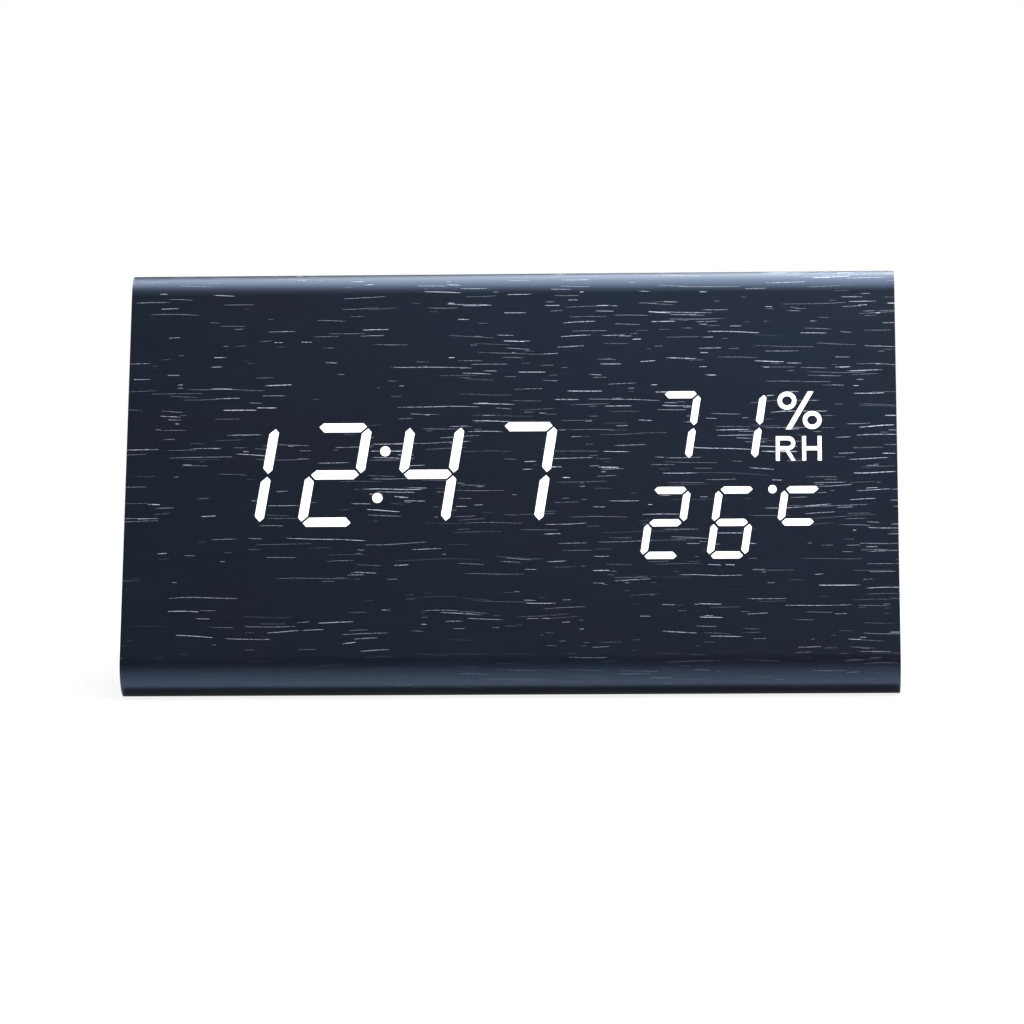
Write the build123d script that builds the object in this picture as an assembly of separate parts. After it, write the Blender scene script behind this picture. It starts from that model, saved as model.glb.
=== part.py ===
from build123d import *
import os
from math import atan2, cos, pi, radians, sin, tan

# A digital LED desk clock: three boards folded into a triangular tube and wrapped in wood-grain film,
# with a lit display behind the front face and the battery bay, switches and supply socket at the back.
# Sizes are in millimetres. +X is the reader's right, -Y is the front and +Z is up.
# The origin is the middle of the base, on the table.

# Case
CASE_DEPTH = 70.0
CASE_HEIGHT = 80.0
CORNER_RADIUS = 6.0
FILM = 0.3
BOARD = 5.0
END_PLUG = 2.0
END_PLUG_GAP = 0.2
END_ROOM = 1.05
OVERCUT = 1.0

# Figures on the front, measured from the middle of the front face
SLANT = radians(8.3)
TIME_CENTRE = (-25.1, -0.3)
TIME_PITCH = 18.1
TIME_WIDTH = 9.95
TIME_HEIGHT = 19.64
TIME_STROKE = 1.78
COLON_RADIUS = 0.98
COLON_SPACING = 9.54
SMALL_PITCH = 12.8
SMALL_WIDTH = 6.85
SMALL_HEIGHT = 13.44
SMALL_STROKE = 1.36
HUMIDITY_CENTRE = (38.55, 9.1)
TEMPERATURE_CENTRE = (36.5, -10.5)
SEGMENT_GAP = 0.36
SEGMENT_OUTER_SHARE = 0.4
PERCENT_CENTRE = (56.2, 12.3)
PERCENT_SPREAD = (2.43, 2.0)
PERCENT_RING = 1.82
PERCENT_HOLE = 1.0
PERCENT_SLASH = (4.35, 7.7)
PERCENT_SLASH_WIDTH = 1.05
LETTERS_RIGHT = 60.38
LETTERS_MIDDLE = 4.5
LETTER_PITCH = 5.1
LETTER_WIDTH = 3.75
LETTER_HEIGHT = 4.95
LETTER_STROKE = 0.74
LETTER_BOWL = 2.8
DEGREE_CENTRE = (50.8, -3.8)
DEGREE_RADIUS = 0.8
SCALE_LETTER_CENTRE = (55.6, -10.5)
DARK_LINE = 0.16

# Display stack behind the film
MASK = 0.2
REFLECTOR_MARGIN = 2.0
REFLECTOR_GAP = 0.2
REFLECTOR_CORNER = 1.5
CELL_MARGIN = 0.2
DISPLAY_LEDGE = 4.0
CIRCUIT_BOARD = 1.6
LED_SIZE = (1.6, 0.8, 0.6)
DRIVER_CHIP = (17.9, 7.5, 2.4)
DRIVER_CENTRE = (6.0, 6.0)
DISPLAY_SCREW_REACH = 3.0

# Chip leads
LEAD_PITCH = 1.27
LEAD_WIDTH = 0.4
LEAD_REACH = 1.4
LEAD_THICKNESS = 0.3

# Flat cable
CABLE_WIDTH = 10.0
CABLE_THICKNESS = 0.9
CABLE_STRAIGHT = 9.0
CABLE_BEND = 5.0
HEADER_SIZE = (12.5, 3.4, 3.2)
HEADER_HEIGHT_ON_DISPLAY = -14.0
HEADER_EDGE_ON_MAIN = 7.0

# Rear cover, measured from its own middle as seen from behind
COVER_DROP = 3.0
COVER_PLATE = 2.0
COVER_CORNER = 4.0
COVER_EDGE = 0.35
COVER_OPENING_CORNER = 2.0
COVER_GAP = 0.15
COVER_LEDGE = 7.0
COVER_ROOM = 1.0
COVER_SCREW_REACH = 4.7

# Battery bay
CELL_COUNT = 3
CELL_RADIUS = 5.25
CELL_LENGTH = 44.5
CELL_NUB_RADIUS = 1.9
CELL_NUB = 0.9
CELL_EDGE = 0.4
CELL_GAP = 0.7
CELL_SIDE_ROOM = 0.6
CELL_LIFT = 0.1
CELL_TOP_ROOM = 0.5
BAY_WALL = 2.0
BAY_FLOOR = 1.6
CONTACT = 0.4
CONTACT_SIDE = 8.4
SPRING_LENGTH = 4.5
SPRING_RADIUS = 2.7
SPRING_WIRE = 0.35
SPRING_TURNS = 3
SPRING_SEAT = 0.05
TAIL_WIDTH = 2.0
TAIL_REACH = 1.7
TAIL_GAP = 0.15
LEAD_WIRE = 0.6
LEAD_WIRE_GAP = 0.1
LEAD_BEND = 3.6
PAD_INSET = 4.0

# Battery door
DOOR_THICKNESS = 1.8
DOOR_GAP = 0.3
DOOR_SEAT = 0.1
DOOR_SHELF = 2.0
DOOR_CORNER = 0.8
DOOR_EDGE = 0.3
HINGE_RADIUS = 1.4
HINGE_PIN = 0.8
HINGE_PIN_CLEARANCE = 0.05
HINGE_PIN_REACH = 1.1
HINGE_PIN_END_ROOM = 0.2
LATCH_WIDTH = 10.0
LATCH_REACH = 2.2
LATCH_THICKNESS = 0.9
LATCH_ROOM = 0.4
THUMB_ROOM = 2.5
GRIP_SIZE = (14.0, 0.8, 0.4)
GRIP_COUNT = 4
GRIP_PITCH = 1.8
GRIP_INSET = 4.0

# Main board behind the rear cover
MAIN_WIDTH = 50.0
MAIN_HEIGHT = 40.0
MAIN_BAY_GAP = 3.0
POST_RADIUS = 2.6
POST_INSET = 3.2
MAIN_SCREW_REACH = 4.0
CONTROLLER_CHIP = (12.8, 7.5, 2.4)
CONTROLLER_CENTRE = (2.0, 7.0)
CRYSTAL_RADIUS = 1.0
CRYSTAL_LENGTH = 6.0
CRYSTAL_CENTRE = (14.0, 9.0)
CAPACITOR_RADIUS = 2.5
CAPACITOR_HEIGHT = 5.4
CAPACITOR_EDGE = 0.5
CAPACITOR_CENTRE = (16.0, -1.0)
BUZZER_RADIUS = 6.0
BUZZER_HEIGHT = 5.5
BUZZER_HOLE = 1.1
BUZZER_HOLE_DEPTH = 2.0
BUZZER_EDGE = 0.4
BUZZER_CENTRE = (-13.0, 10.0)
SENSOR_SIZE = (5.0, 6.0, 2.2)
SENSOR_WINDOW = (3.0, 3.6, 0.5)
SENSOR_CENTRE = (-3.0, 12.0)
THERMISTOR_RADIUS = 1.0
THERMISTOR_HEIGHT = 2.6
THERMISTOR_CENTRE = (-3.0, 4.5)
MICROPHONE_RADIUS = 3.0
MICROPHONE_HEIGHT = 3.0
MICROPHONE_HOLE = 0.8
MICROPHONE_HOLE_DEPTH = 0.6
MICROPHONE_CENTRE = (5.5, 9.0)

# Openings in the rear cover
VENT_SIZE = (11.0, 1.4)
VENT_PITCH = 2.8
VENT_COUNT = 5
VENT_CENTRE = (-8.0, 10.0)
SOUND_HOLE = 0.9

# Supply socket
USB_SIZE = (7.6, 2.9)
USB_CHAMFER = 0.8
USB_WALL = 0.3
USB_RECESS = 0.4
USB_BASE = 2.2
USB_TONGUE = (3.8, 0.7)
USB_TONGUE_RECESS = 1.0
USB_CENTRE = (15.5, 9.5)
USB_OPENING_GAP = 0.4
USB_OPENING_CORNER = 0.9

# Buttons and their switches
BUTTON_NAMES = ("set", "up", "down")
BUTTON_PITCH = 14.0
BUTTON_HEIGHT = 10.5
BUTTON_RADIUS = 3.4
BUTTON_PROUD = 1.2
BUTTON_EDGE = 0.4
BUTTON_CLEARANCE = 0.2
BUTTON_FLANGE = 4.3
BUTTON_FLANGE_THICKNESS = 0.85
BUTTON_FLANGE_GAP = 0.15
BUTTON_STEM = 1.6
BUTTON_STEM_LENGTH = 1.0
BUTTON_MARK = 1.7
BUTTON_MARK_DEPTH = 0.25
SWITCH_SIDE = 6.0
SWITCH_BODY = 3.5
SWITCH_PLUNGER = 1.75
SWITCH_PLUNGER_CLEARANCE = 0.05
SWITCH_PLUNGER_PROUD = 1.5
SWITCH_PLUNGER_INSIDE = 2.0
SWITCH_BORE_FLOOR = 0.6

# Screws
SCREW_RADIUS = 1.0
SCREW_HOLE_CLEARANCE = 0.05
SCREW_HEAD_RADIUS = 1.9
SCREW_HEAD_HEIGHT = 1.2
SCREW_SLOT = (0.5, 2.2, 0.6)

# Section of the case
LEAN = atan2(CASE_DEPTH / 2 - CORNER_RADIUS, CASE_HEIGHT - 2 * CORNER_RADIUS)
BASE_HALF_ANGLE = (pi / 2 - LEAN) / 2
BASE_FLAT = CASE_DEPTH / 2 - CORNER_RADIUS
BASE_HALF = BASE_FLAT + CORNER_RADIUS / tan(BASE_HALF_ANGLE)
INRADIUS = BASE_HALF * tan(BASE_HALF_ANGLE)
APEX = BASE_HALF / tan(LEAN)
FACE_MIDDLE = (BASE_FLAT / 2 + CORNER_RADIUS * cos(LEAN), CASE_HEIGHT / 2 + CORNER_RADIUS * sin(LEAN))
FACE_UP = (sin(LEAN), cos(LEAN))
INNER_FACE = FILM + BOARD
CIRCUIT_BACK = INNER_FACE + CIRCUIT_BOARD

# Layout of the battery bay and the main board on the rear cover
CELL_PITCH = 2 * CELL_RADIUS + CELL_GAP
POCKET_WIDTH = CELL_LENGTH + SPRING_LENGTH + 2 * CONTACT
CELLS_HEIGHT = CELL_COUNT * CELL_PITCH
POCKET_HEIGHT = DOOR_GAP + 2 * HINGE_RADIUS + CELL_SIDE_ROOM + CELLS_HEIGHT + DOOR_SHELF
BAY_WIDTH = POCKET_WIDTH + 2 * BAY_WALL
BAY_HEIGHT = POCKET_HEIGHT + 2 * BAY_WALL
CONTENT_WIDTH = BAY_WIDTH + MAIN_BAY_GAP + MAIN_WIDTH
BAY_MIDDLE = BAY_WIDTH / 2 - CONTENT_WIDTH / 2
MAIN_MIDDLE = CONTENT_WIDTH / 2 - MAIN_WIDTH / 2
OPENING_WIDTH = CONTENT_WIDTH + 2 * COVER_ROOM
OPENING_HEIGHT = max(BAY_HEIGHT, MAIN_HEIGHT) + 2 * COVER_ROOM
PLATE_WIDTH = OPENING_WIDTH + 2 * COVER_LEDGE
PLATE_HEIGHT = OPENING_HEIGHT + 2 * COVER_LEDGE
CELL_AXIS_DEPTH = DOOR_THICKNESS + CELL_TOP_ROOM + CELL_RADIUS
POCKET_DEPTH = CELL_AXIS_DEPTH + CELL_RADIUS + CELL_LIFT
BAY_DEPTH = POCKET_DEPTH + BAY_FLOOR
POCKET_BOTTOM = -POCKET_HEIGHT / 2
HINGE_HEIGHT = POCKET_BOTTOM + DOOR_GAP + HINGE_RADIUS
FIRST_CELL_HEIGHT = HINGE_HEIGHT + HINGE_RADIUS + CELL_SIDE_ROOM + CELL_PITCH / 2
DOOR_WIDTH = POCKET_WIDTH - 2 * DOOR_GAP
FLANGE_TOP = COVER_PLATE + BUTTON_FLANGE_GAP
STEM_TOP = FLANGE_TOP + BUTTON_FLANGE_THICKNESS
PLUNGER_TOP = STEM_TOP + BUTTON_STEM_LENGTH
SWITCH_TOP = PLUNGER_TOP + SWITCH_PLUNGER_PROUD
MAIN_TOP = SWITCH_TOP + SWITCH_BODY
MAIN_BACK = MAIN_TOP + CIRCUIT_BOARD
CABLE_X = -MAIN_MIDDLE

# The two sloping faces, each with its own up direction, and depth counted inwards from the outer surface
FRONT = Plane((0, -FACE_MIDDLE[0], FACE_MIDDLE[1]), x_dir=(1, 0, 0), z_dir=(0, -cos(LEAN), sin(LEAN)))
REAR = Plane(
    (0, FACE_MIDDLE[0] + COVER_DROP * FACE_UP[0], FACE_MIDDLE[1] - COVER_DROP * FACE_UP[1]),
    x_dir=(-1, 0, 0),
    z_dir=(0, cos(LEAN), sin(LEAN)),
)


# Basic shapes
def layer(sketch, top, bottom):
    """Solid of a sketch from one depth to a greater one under the outer face."""
    return Pos(0, 0, -bottom) * extrude(sketch, amount=bottom - top, dir=(0, 0, 1))


def block(centre, size, top):
    """Box of a given width, height and thickness whose outer face is at a depth."""
    return layer(Pos(*centre) * Rectangle(size[0], size[1]), top, top + size[2])


def post(centre, radius, top, bottom):
    """Round post between two depths."""
    return layer(Pos(*centre) * Circle(radius), top, bottom)


def corners(width, height):
    """The four corners of a rectangle about the origin."""
    return [(x * width / 2, y * height / 2) for x in (-1, 1) for y in (-1, 1)]


def section_corners(depth):
    """Sharp corners of the case section, its sides a depth under the outer faces: front, rear and top."""
    share = 1 - depth / INRADIUS
    top = INRADIUS + (APEX - INRADIUS) * share
    return [(-BASE_HALF * share, depth), (BASE_HALF * share, depth), (0, top)]


def sharp_section(depth):
    return Polygon(*section_corners(depth), align=None)


def round_section(depth):
    sharp = sharp_section(depth)
    return fillet(sharp.vertices(), CORNER_RADIUS - depth)


def slab(section, start, end):
    """Solid of a case section along the width of the case."""
    return Pos(start, 0, 0) * extrude(Plane.YZ * section, amount=end - start, dir=(1, 0, 0))


# Figures
SEGMENT_ENDS = {
    "a": ((-1, 1), (1, 1), (0, 1)),
    "b": ((1, 1), (1, 0), (1, 0)),
    "c": ((1, 0), (1, -1), (1, 0)),
    "d": ((-1, -1), (1, -1), (0, -1)),
    "e": ((-1, 0), (-1, -1), (-1, 0)),
    "f": ((-1, 1), (-1, 0), (-1, 0)),
    "g": ((-1, 0), (1, 0), (0, 1)),
}
FIGURES = {"1": "bc", "2": "abged", "4": "fgbc", "6": "afgedc", "7": "abc", "half C": "afg", "all": "abcdefg"}


def slanted(centre, point):
    """A point of an upright figure, leaned over and moved to the figure's centre."""
    return (centre[0] + point[0] + point[1] * tan(SLANT), centre[1] + point[1])


def segment(centre, size, name):
    """One segment: a bar with mitred ends that reaches further inwards than outwards."""
    width, height, stroke = size
    first, last, out = SEGMENT_ENDS[name]
    share = 0.5 if name == "g" else SEGMENT_OUTER_SHARE
    start = Vector(first[0] * width / 2, first[1] * height / 2)
    end = Vector(last[0] * width / 2, last[1] * height / 2)
    along = (end - start).normalized()
    outward = Vector(*out)
    start += along * SEGMENT_GAP
    end -= along * SEGMENT_GAP
    rise = stroke * share
    fall = stroke - rise
    points = [
        start,
        start + (along + outward) * rise,
        end + (outward - along) * rise,
        end,
        end - (along + outward) * fall,
        start + (along - outward) * fall,
    ]
    return make_face(Polyline(*[slanted(centre, (p.X, p.Y)) for p in points], close=True))


def segment_middle(centre, size, name):
    first, last, _ = SEGMENT_ENDS[name]
    middle = ((first[0] + last[0]) * size[0] / 4, (first[1] + last[1]) * size[1] / 4)
    return slanted(centre, middle)


def figure(centre, size, name):
    return [segment(centre, size, letter) for letter in FIGURES[name]]


def spread(centre, pitch, count):
    """Centres of a row of figures about a middle."""
    return [(centre[0] + (i - (count - 1) / 2) * pitch, centre[1]) for i in range(count)]


TIME_SIZE = (TIME_WIDTH, TIME_HEIGHT, TIME_STROKE)
SMALL_SIZE = (SMALL_WIDTH, SMALL_HEIGHT, SMALL_STROKE)
TIME_PLACES = spread(TIME_CENTRE, TIME_PITCH, 4)
HUMIDITY_PLACES = spread(HUMIDITY_CENTRE, SMALL_PITCH, 2)
TEMPERATURE_PLACES = spread(TEMPERATURE_CENTRE, SMALL_PITCH, 2)
COLON_PLACES = [slanted(TIME_CENTRE, (0, side * COLON_SPACING / 2)) for side in (1, -1)]


def percent_mark():
    slash = [
        (PERCENT_CENTRE[0] + x * PERCENT_SLASH[0] / 2 + side * PERCENT_SLASH_WIDTH / 2,
         PERCENT_CENTRE[1] + x * PERCENT_SLASH[1] / 2)
        for x, side in ((-1, -1), (-1, 1), (1, 1), (1, -1))
    ]
    ring = Circle(PERCENT_RING) - Circle(PERCENT_HOLE)
    rings = [
        Pos(PERCENT_CENTRE[0] - side * PERCENT_SPREAD[0], PERCENT_CENTRE[1] + side * PERCENT_SPREAD[1]) * ring
        for side in (1, -1)
    ]
    return [Polygon(*slash, align=None), *rings]


def letter_h(centre):
    stem = Rectangle(LETTER_STROKE, LETTER_HEIGHT)
    reach = (LETTER_WIDTH - LETTER_STROKE) / 2
    bar = Rectangle(LETTER_WIDTH - LETTER_STROKE, LETTER_STROKE)
    return Pos(*centre) * (Pos(-reach, 0) * stem + Pos(reach, 0) * stem + bar)


def letter_r(centre):
    left = -LETTER_WIDTH / 2
    top = LETTER_HEIGHT / 2
    bowl_middle = top - LETTER_BOWL / 2
    bowl_end = LETTER_WIDTH / 2 - LETTER_BOWL / 2

    def bowl(inset):
        straight = bowl_end - left - inset
        bar = Pos(bowl_end - straight / 2, bowl_middle) * Rectangle(straight, LETTER_BOWL - 2 * inset)
        return bar + Pos(bowl_end, bowl_middle) * Circle(LETTER_BOWL / 2 - inset)

    stem = Pos(left + LETTER_STROKE / 2, 0) * Rectangle(LETTER_STROKE, LETTER_HEIGHT)
    leg_top = top - LETTER_BOWL + LETTER_STROKE / 2
    leg = Polygon(
        (bowl_end - LETTER_STROKE, leg_top),
        (LETTER_WIDTH / 2 - LETTER_STROKE, -top),
        (LETTER_WIDTH / 2, -top),
        (bowl_end, leg_top),
        align=None,
    )
    return Pos(*centre) * (bowl(0) - bowl(LETTER_STROKE) + stem + leg)


def letter_places():
    right = (LETTERS_RIGHT - LETTER_WIDTH / 2, LETTERS_MIDDLE)
    return (right[0] - LETTER_PITCH, right[1]), right


def dot(centre, radius):
    return Pos(*centre) * Circle(radius)


def lit_marks():
    """Every lit mark of the front, by the node that holds it."""
    hours = figure(TIME_PLACES[0], TIME_SIZE, "1") + figure(TIME_PLACES[1], TIME_SIZE, "2")
    minutes = figure(TIME_PLACES[2], TIME_SIZE, "4") + figure(TIME_PLACES[3], TIME_SIZE, "7")
    humidity = figure(HUMIDITY_PLACES[0], SMALL_SIZE, "7") + figure(HUMIDITY_PLACES[1], SMALL_SIZE, "1")
    warmth = figure(TEMPERATURE_PLACES[0], SMALL_SIZE, "2") + figure(TEMPERATURE_PLACES[1], SMALL_SIZE, "6")
    first_letter, last_letter = letter_places()
    return {
        "lit_hours": hours,
        "lit_colon": [dot(place, COLON_RADIUS) for place in COLON_PLACES],
        "lit_minutes": minutes,
        "lit_humidity": humidity,
        "lit_humidity_unit": [*percent_mark(), letter_r(first_letter), letter_h(last_letter)],
        "lit_temperature": warmth,
        "lit_temperature_unit": [
            dot(DEGREE_CENTRE, DEGREE_RADIUS),
            *figure(SCALE_LETTER_CENTRE, SMALL_SIZE, "half C"),
        ],
    }


def fused(sketches):
    return Sketch() + list(sketches)


def around(sketch, margin):
    """Rectangle round a sketch with a margin."""
    box = sketch.bounding_box()
    size = box.size
    middle = box.center()
    return Pos(middle.X, middle.Y) * Rectangle(size.X + 2 * margin, size.Y + 2 * margin)


def light_cells():
    """Openings of the light box, and the place and turn of the light chip in each."""
    cells = []
    lights = []
    digits = [(place, TIME_SIZE) for place in TIME_PLACES]
    digits += [(place, SMALL_SIZE) for place in HUMIDITY_PLACES + TEMPERATURE_PLACES]
    for place, size in digits:
        cells += figure(place, size, "all")
        lights += [(segment_middle(place, size, name), name in "bcef") for name in FIGURES["all"]]
    cells += figure(SCALE_LETTER_CENTRE, SMALL_SIZE, "half C")
    scale_letter = FIGURES["half C"]
    lights += [(segment_middle(SCALE_LETTER_CENTRE, SMALL_SIZE, n), n == "f") for n in scale_letter]
    for place, radius in [*((p, COLON_RADIUS) for p in COLON_PLACES), (DEGREE_CENTRE, DEGREE_RADIUS)]:
        cells.append(dot(place, radius + CELL_MARGIN))
        lights.append((place, False))
    first_letter, last_letter = letter_places()
    for place, marks in (
        (PERCENT_CENTRE, percent_mark()),
        (first_letter, [letter_r(first_letter)]),
        (last_letter, [letter_h(last_letter)]),
    ):
        cells.append(around(fused(marks), CELL_MARGIN))
        lights.append((place, False))
    return cells, lights


MARKS = lit_marks()
LIGHT_CELLS, LIGHTS = light_cells()

# The width of the case follows from the display that it holds
FIGURE_BOX = fused(LIGHT_CELLS).bounding_box()
DISPLAY_MIDDLE = (FIGURE_BOX.center().X, FIGURE_BOX.center().Y)
REFLECTOR_WIDTH = FIGURE_BOX.size.X + 2 * REFLECTOR_MARGIN
REFLECTOR_HEIGHT = FIGURE_BOX.size.Y + 2 * REFLECTOR_MARGIN
DISPLAY_WIDTH = REFLECTOR_WIDTH + 2 * DISPLAY_LEDGE
DISPLAY_HEIGHT = REFLECTOR_HEIGHT + 2 * DISPLAY_LEDGE
INNER_HALF = abs(DISPLAY_MIDDLE[0]) + DISPLAY_WIDTH / 2 + END_ROOM + END_PLUG
CORE_HALF = INNER_HALF + BOARD
CASE_HALF = CORE_HALF + FILM


def on_display(point):
    return (DISPLAY_MIDDLE[0] + point[0], DISPLAY_MIDDLE[1] + point[1])


def on_main(point):
    return (MAIN_MIDDLE + point[0], point[1])


def on_foot(point):
    """A place on the main board measured from the middle of its lower edge."""
    return (MAIN_MIDDLE + point[0], point[1] - MAIN_HEIGHT / 2)


def display_outline(gap):
    size = (REFLECTOR_WIDTH + 2 * gap, REFLECTOR_HEIGHT + 2 * gap)
    return Pos(*DISPLAY_MIDDLE) * RectangleRounded(*size, REFLECTOR_CORNER + gap)


def cover_outline(gap):
    return RectangleRounded(PLATE_WIDTH + 2 * gap, PLATE_HEIGHT + 2 * gap, COVER_CORNER + gap)


DISPLAY_SCREW_SPACING = (DISPLAY_WIDTH - DISPLAY_LEDGE, DISPLAY_HEIGHT - DISPLAY_LEDGE)
DISPLAY_SCREWS = [on_display(place) for place in corners(*DISPLAY_SCREW_SPACING)]
COVER_SCREWS = corners(PLATE_WIDTH - COVER_LEDGE, PLATE_HEIGHT - COVER_LEDGE)
MAIN_SCREWS = [on_main(p) for p in corners(MAIN_WIDTH - 2 * POST_INSET, MAIN_HEIGHT - 2 * POST_INSET)]
BUTTON_PLACES = [on_main(p) for p in spread((0, BUTTON_HEIGHT), BUTTON_PITCH, len(BUTTON_NAMES))]
CELL_HEIGHTS = [FIRST_CELL_HEIGHT + i * CELL_PITCH for i in range(CELL_COUNT)]


# Case
def case_board(first, last):
    """Board between two mitred corners of the section."""
    ring = round_section(FILM) - sharp_section(INNER_FACE)
    far = section_corners(-2 * INRADIUS)
    wedge = Polygon((0, INRADIUS), far[first], far[last], align=None)
    return slab(ring & wedge, -INNER_HALF, INNER_HALF)


def front_board():
    window = layer(display_outline(REFLECTOR_GAP), 0, INNER_FACE + BOARD)
    radius = SCREW_RADIUS + SCREW_HOLE_CLEARANCE
    deepest = INNER_FACE - DISPLAY_SCREW_REACH - SCREW_HOLE_CLEARANCE
    holes = [post(place, radius, deepest, INNER_FACE + BOARD) for place in DISPLAY_SCREWS]
    return case_board(2, 0) - FRONT * window - [FRONT * hole for hole in holes]


def rear_board():
    rebate = layer(cover_outline(COVER_GAP), 0, COVER_PLATE)
    opening = RectangleRounded(OPENING_WIDTH, OPENING_HEIGHT, COVER_OPENING_CORNER)
    opening = layer(opening, 0, INNER_FACE + BOARD)
    radius = SCREW_RADIUS + SCREW_HOLE_CLEARANCE
    holes = [post(place, radius, 0, INNER_FACE + BOARD) for place in COVER_SCREWS]
    cuts = [REAR * cut for cut in (rebate, opening, *holes)]
    return case_board(1, 2) - cuts


def end_panel(side):
    panel = slab(round_section(FILM), INNER_HALF, CORE_HALF)
    plug = slab(sharp_section(INNER_FACE + END_PLUG_GAP), INNER_HALF - END_PLUG, INNER_HALF)
    whole = panel + plug
    return whole if side > 0 else mirror(whole, Plane.YZ)


def end_film(side):
    start, end = sorted((side * CORE_HALF, side * CASE_HALF))
    return slab(round_section(FILM), start, end)


def film_windows():
    """Openings of the film round the lit marks, each with a dark line left round its mark."""
    faces = [face for marks in MARKS.values() for mark in marks for face in mark.faces()]
    return [offset(make_face(face.outer_wire()), DARK_LINE, kind=Kind.INTERSECTION) for face in faces]


def veneer_wrap():
    ring = round_section(0) - round_section(FILM)
    base = Pos(0, FILM / 2) * Rectangle(2 * BASE_FLAT, FILM)
    wrap = slab(ring - base, -CASE_HALF, CASE_HALF)
    windows = layer(fused(film_windows()), -FILM, 2 * FILM)
    opening = layer(cover_outline(COVER_GAP), -FILM, 2 * FILM)
    return wrap - FRONT * windows - REAR * opening


def base_film():
    return slab(Pos(0, FILM / 2) * Rectangle(2 * BASE_FLAT, FILM), -CASE_HALF, CASE_HALF)


# Screws and chips
def board_screw(place, seat, reach, outward):
    """Round-headed screw seated at a depth, its shank pointing outwards or inwards."""
    turn = 1 if outward else -1
    head = Pos(0, 0, -SCREW_HEAD_HEIGHT / 2) * Cylinder(SCREW_HEAD_RADIUS, SCREW_HEAD_HEIGHT)
    rim = head.edges().filter_by(GeomType.CIRCLE).sort_by(Axis.Z)[0]
    head = fillet(rim, SCREW_HEAD_HEIGHT / 2)
    shank = Pos(0, 0, reach / 2) * Cylinder(SCREW_RADIUS, reach)
    slot = Pos(0, 0, -SCREW_HEAD_HEIGHT + SCREW_SLOT[2] / 2) * Box(*SCREW_SLOT)
    cross = [slot, Rot(0, 0, 90) * slot]
    screw = head + shank - cross
    if turn < 0:
        screw = Rot(180, 0, 0) * screw
    return Pos(place[0], place[1], -seat) * screw


def chip(centre, size, seat):
    """Flat chip on the inner side of a board, with a row of leads on its two long sides."""
    body = block(centre, size, seat)
    count = int(size[0] / LEAD_PITCH)
    lead = (LEAD_WIDTH, size[1] + 2 * LEAD_REACH, LEAD_THICKNESS)
    leads = [block(place, lead, seat) for place in spread(centre, LEAD_PITCH, count)]
    return body + leads


# Display
def lit_mark(marks):
    return [layer(mark, 0, FILM) for mark in marks]


def segment_reflector():
    box = layer(display_outline(0), FILM + MASK, INNER_FACE)
    return box - layer(fused(LIGHT_CELLS), 0, INNER_FACE + BOARD)


def segment_leds():
    chips = []
    for place, upright in LIGHTS:
        length, width, height = LED_SIZE
        size = (width, length, height) if upright else LED_SIZE
        chips.append(block(place, size, INNER_FACE - height))
    return chips


def display_board():
    sheet = layer(Pos(*DISPLAY_MIDDLE) * Rectangle(DISPLAY_WIDTH, DISPLAY_HEIGHT), INNER_FACE, CIRCUIT_BACK)
    radius = SCREW_RADIUS + SCREW_HOLE_CLEARANCE
    return sheet - [post(place, radius, 0, INNER_FACE + BOARD) for place in DISPLAY_SCREWS]


def display_board_screws():
    reach = DISPLAY_SCREW_REACH + CIRCUIT_BOARD
    return [board_screw(place, CIRCUIT_BACK, reach, True) for place in DISPLAY_SCREWS]


def cable_end(plane, place, seat):
    """Middle of a header's inner face, and the way the cable leaves it."""
    root = plane.from_local_coords((place[0], place[1], -seat - HEADER_SIZE[2]))
    return root, root - plane.z_dir * CABLE_STRAIGHT


def ribbon_cable():
    start, after_start = cable_end(FRONT, (CABLE_X, HEADER_HEIGHT_ON_DISPLAY), CIRCUIT_BACK)
    end, before_end = cable_end(REAR, on_foot((0, HEADER_EDGE_ON_MAIN)), MAIN_BACK)
    path = FilletPolyline(start, after_start, before_end, end, radius=CABLE_BEND)
    strip = Plane(start, x_dir=(1, 0, 0), z_dir=-FRONT.z_dir) * Rectangle(CABLE_WIDTH, CABLE_THICKNESS)
    return sweep(strip, path=path)


# Rear cover and battery bay
def cover_openings():
    """Cuts through the plate for the switches, the vents, the microphone and the supply plug."""
    usb_width, usb_height = USB_SIZE
    usb = RectangleRounded(
        usb_width + 2 * USB_OPENING_GAP, usb_height + 2 * USB_OPENING_GAP, USB_OPENING_CORNER
    )
    cuts = [Pos(*place) * Circle(BUTTON_RADIUS + BUTTON_CLEARANCE) for place in BUTTON_PLACES]
    for i in range(VENT_COUNT):
        height = VENT_CENTRE[1] + (i - (VENT_COUNT - 1) / 2) * VENT_PITCH
        cuts.append(Pos(*on_foot((VENT_CENTRE[0], height))) * SlotOverall(*VENT_SIZE))
    cuts.append(Pos(*on_foot(MICROPHONE_CENTRE)) * Circle(SOUND_HOLE))
    cuts.append(Pos(*on_foot(USB_CENTRE)) * usb)
    return [layer(cut, -COVER_PLATE, 2 * COVER_PLATE) for cut in cuts]


def latch_notch():
    """Recess in the plate under the door's latch tab, with room for a thumb nail."""
    reach = LATCH_REACH + THUMB_ROOM
    shape = Rectangle(LATCH_WIDTH + 2 * DOOR_GAP, reach, align=(Align.CENTER, Align.MIN))
    return layer(Pos(BAY_MIDDLE, POCKET_HEIGHT / 2) * shape, -OVERCUT, LATCH_THICKNESS + LATCH_ROOM)


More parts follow.
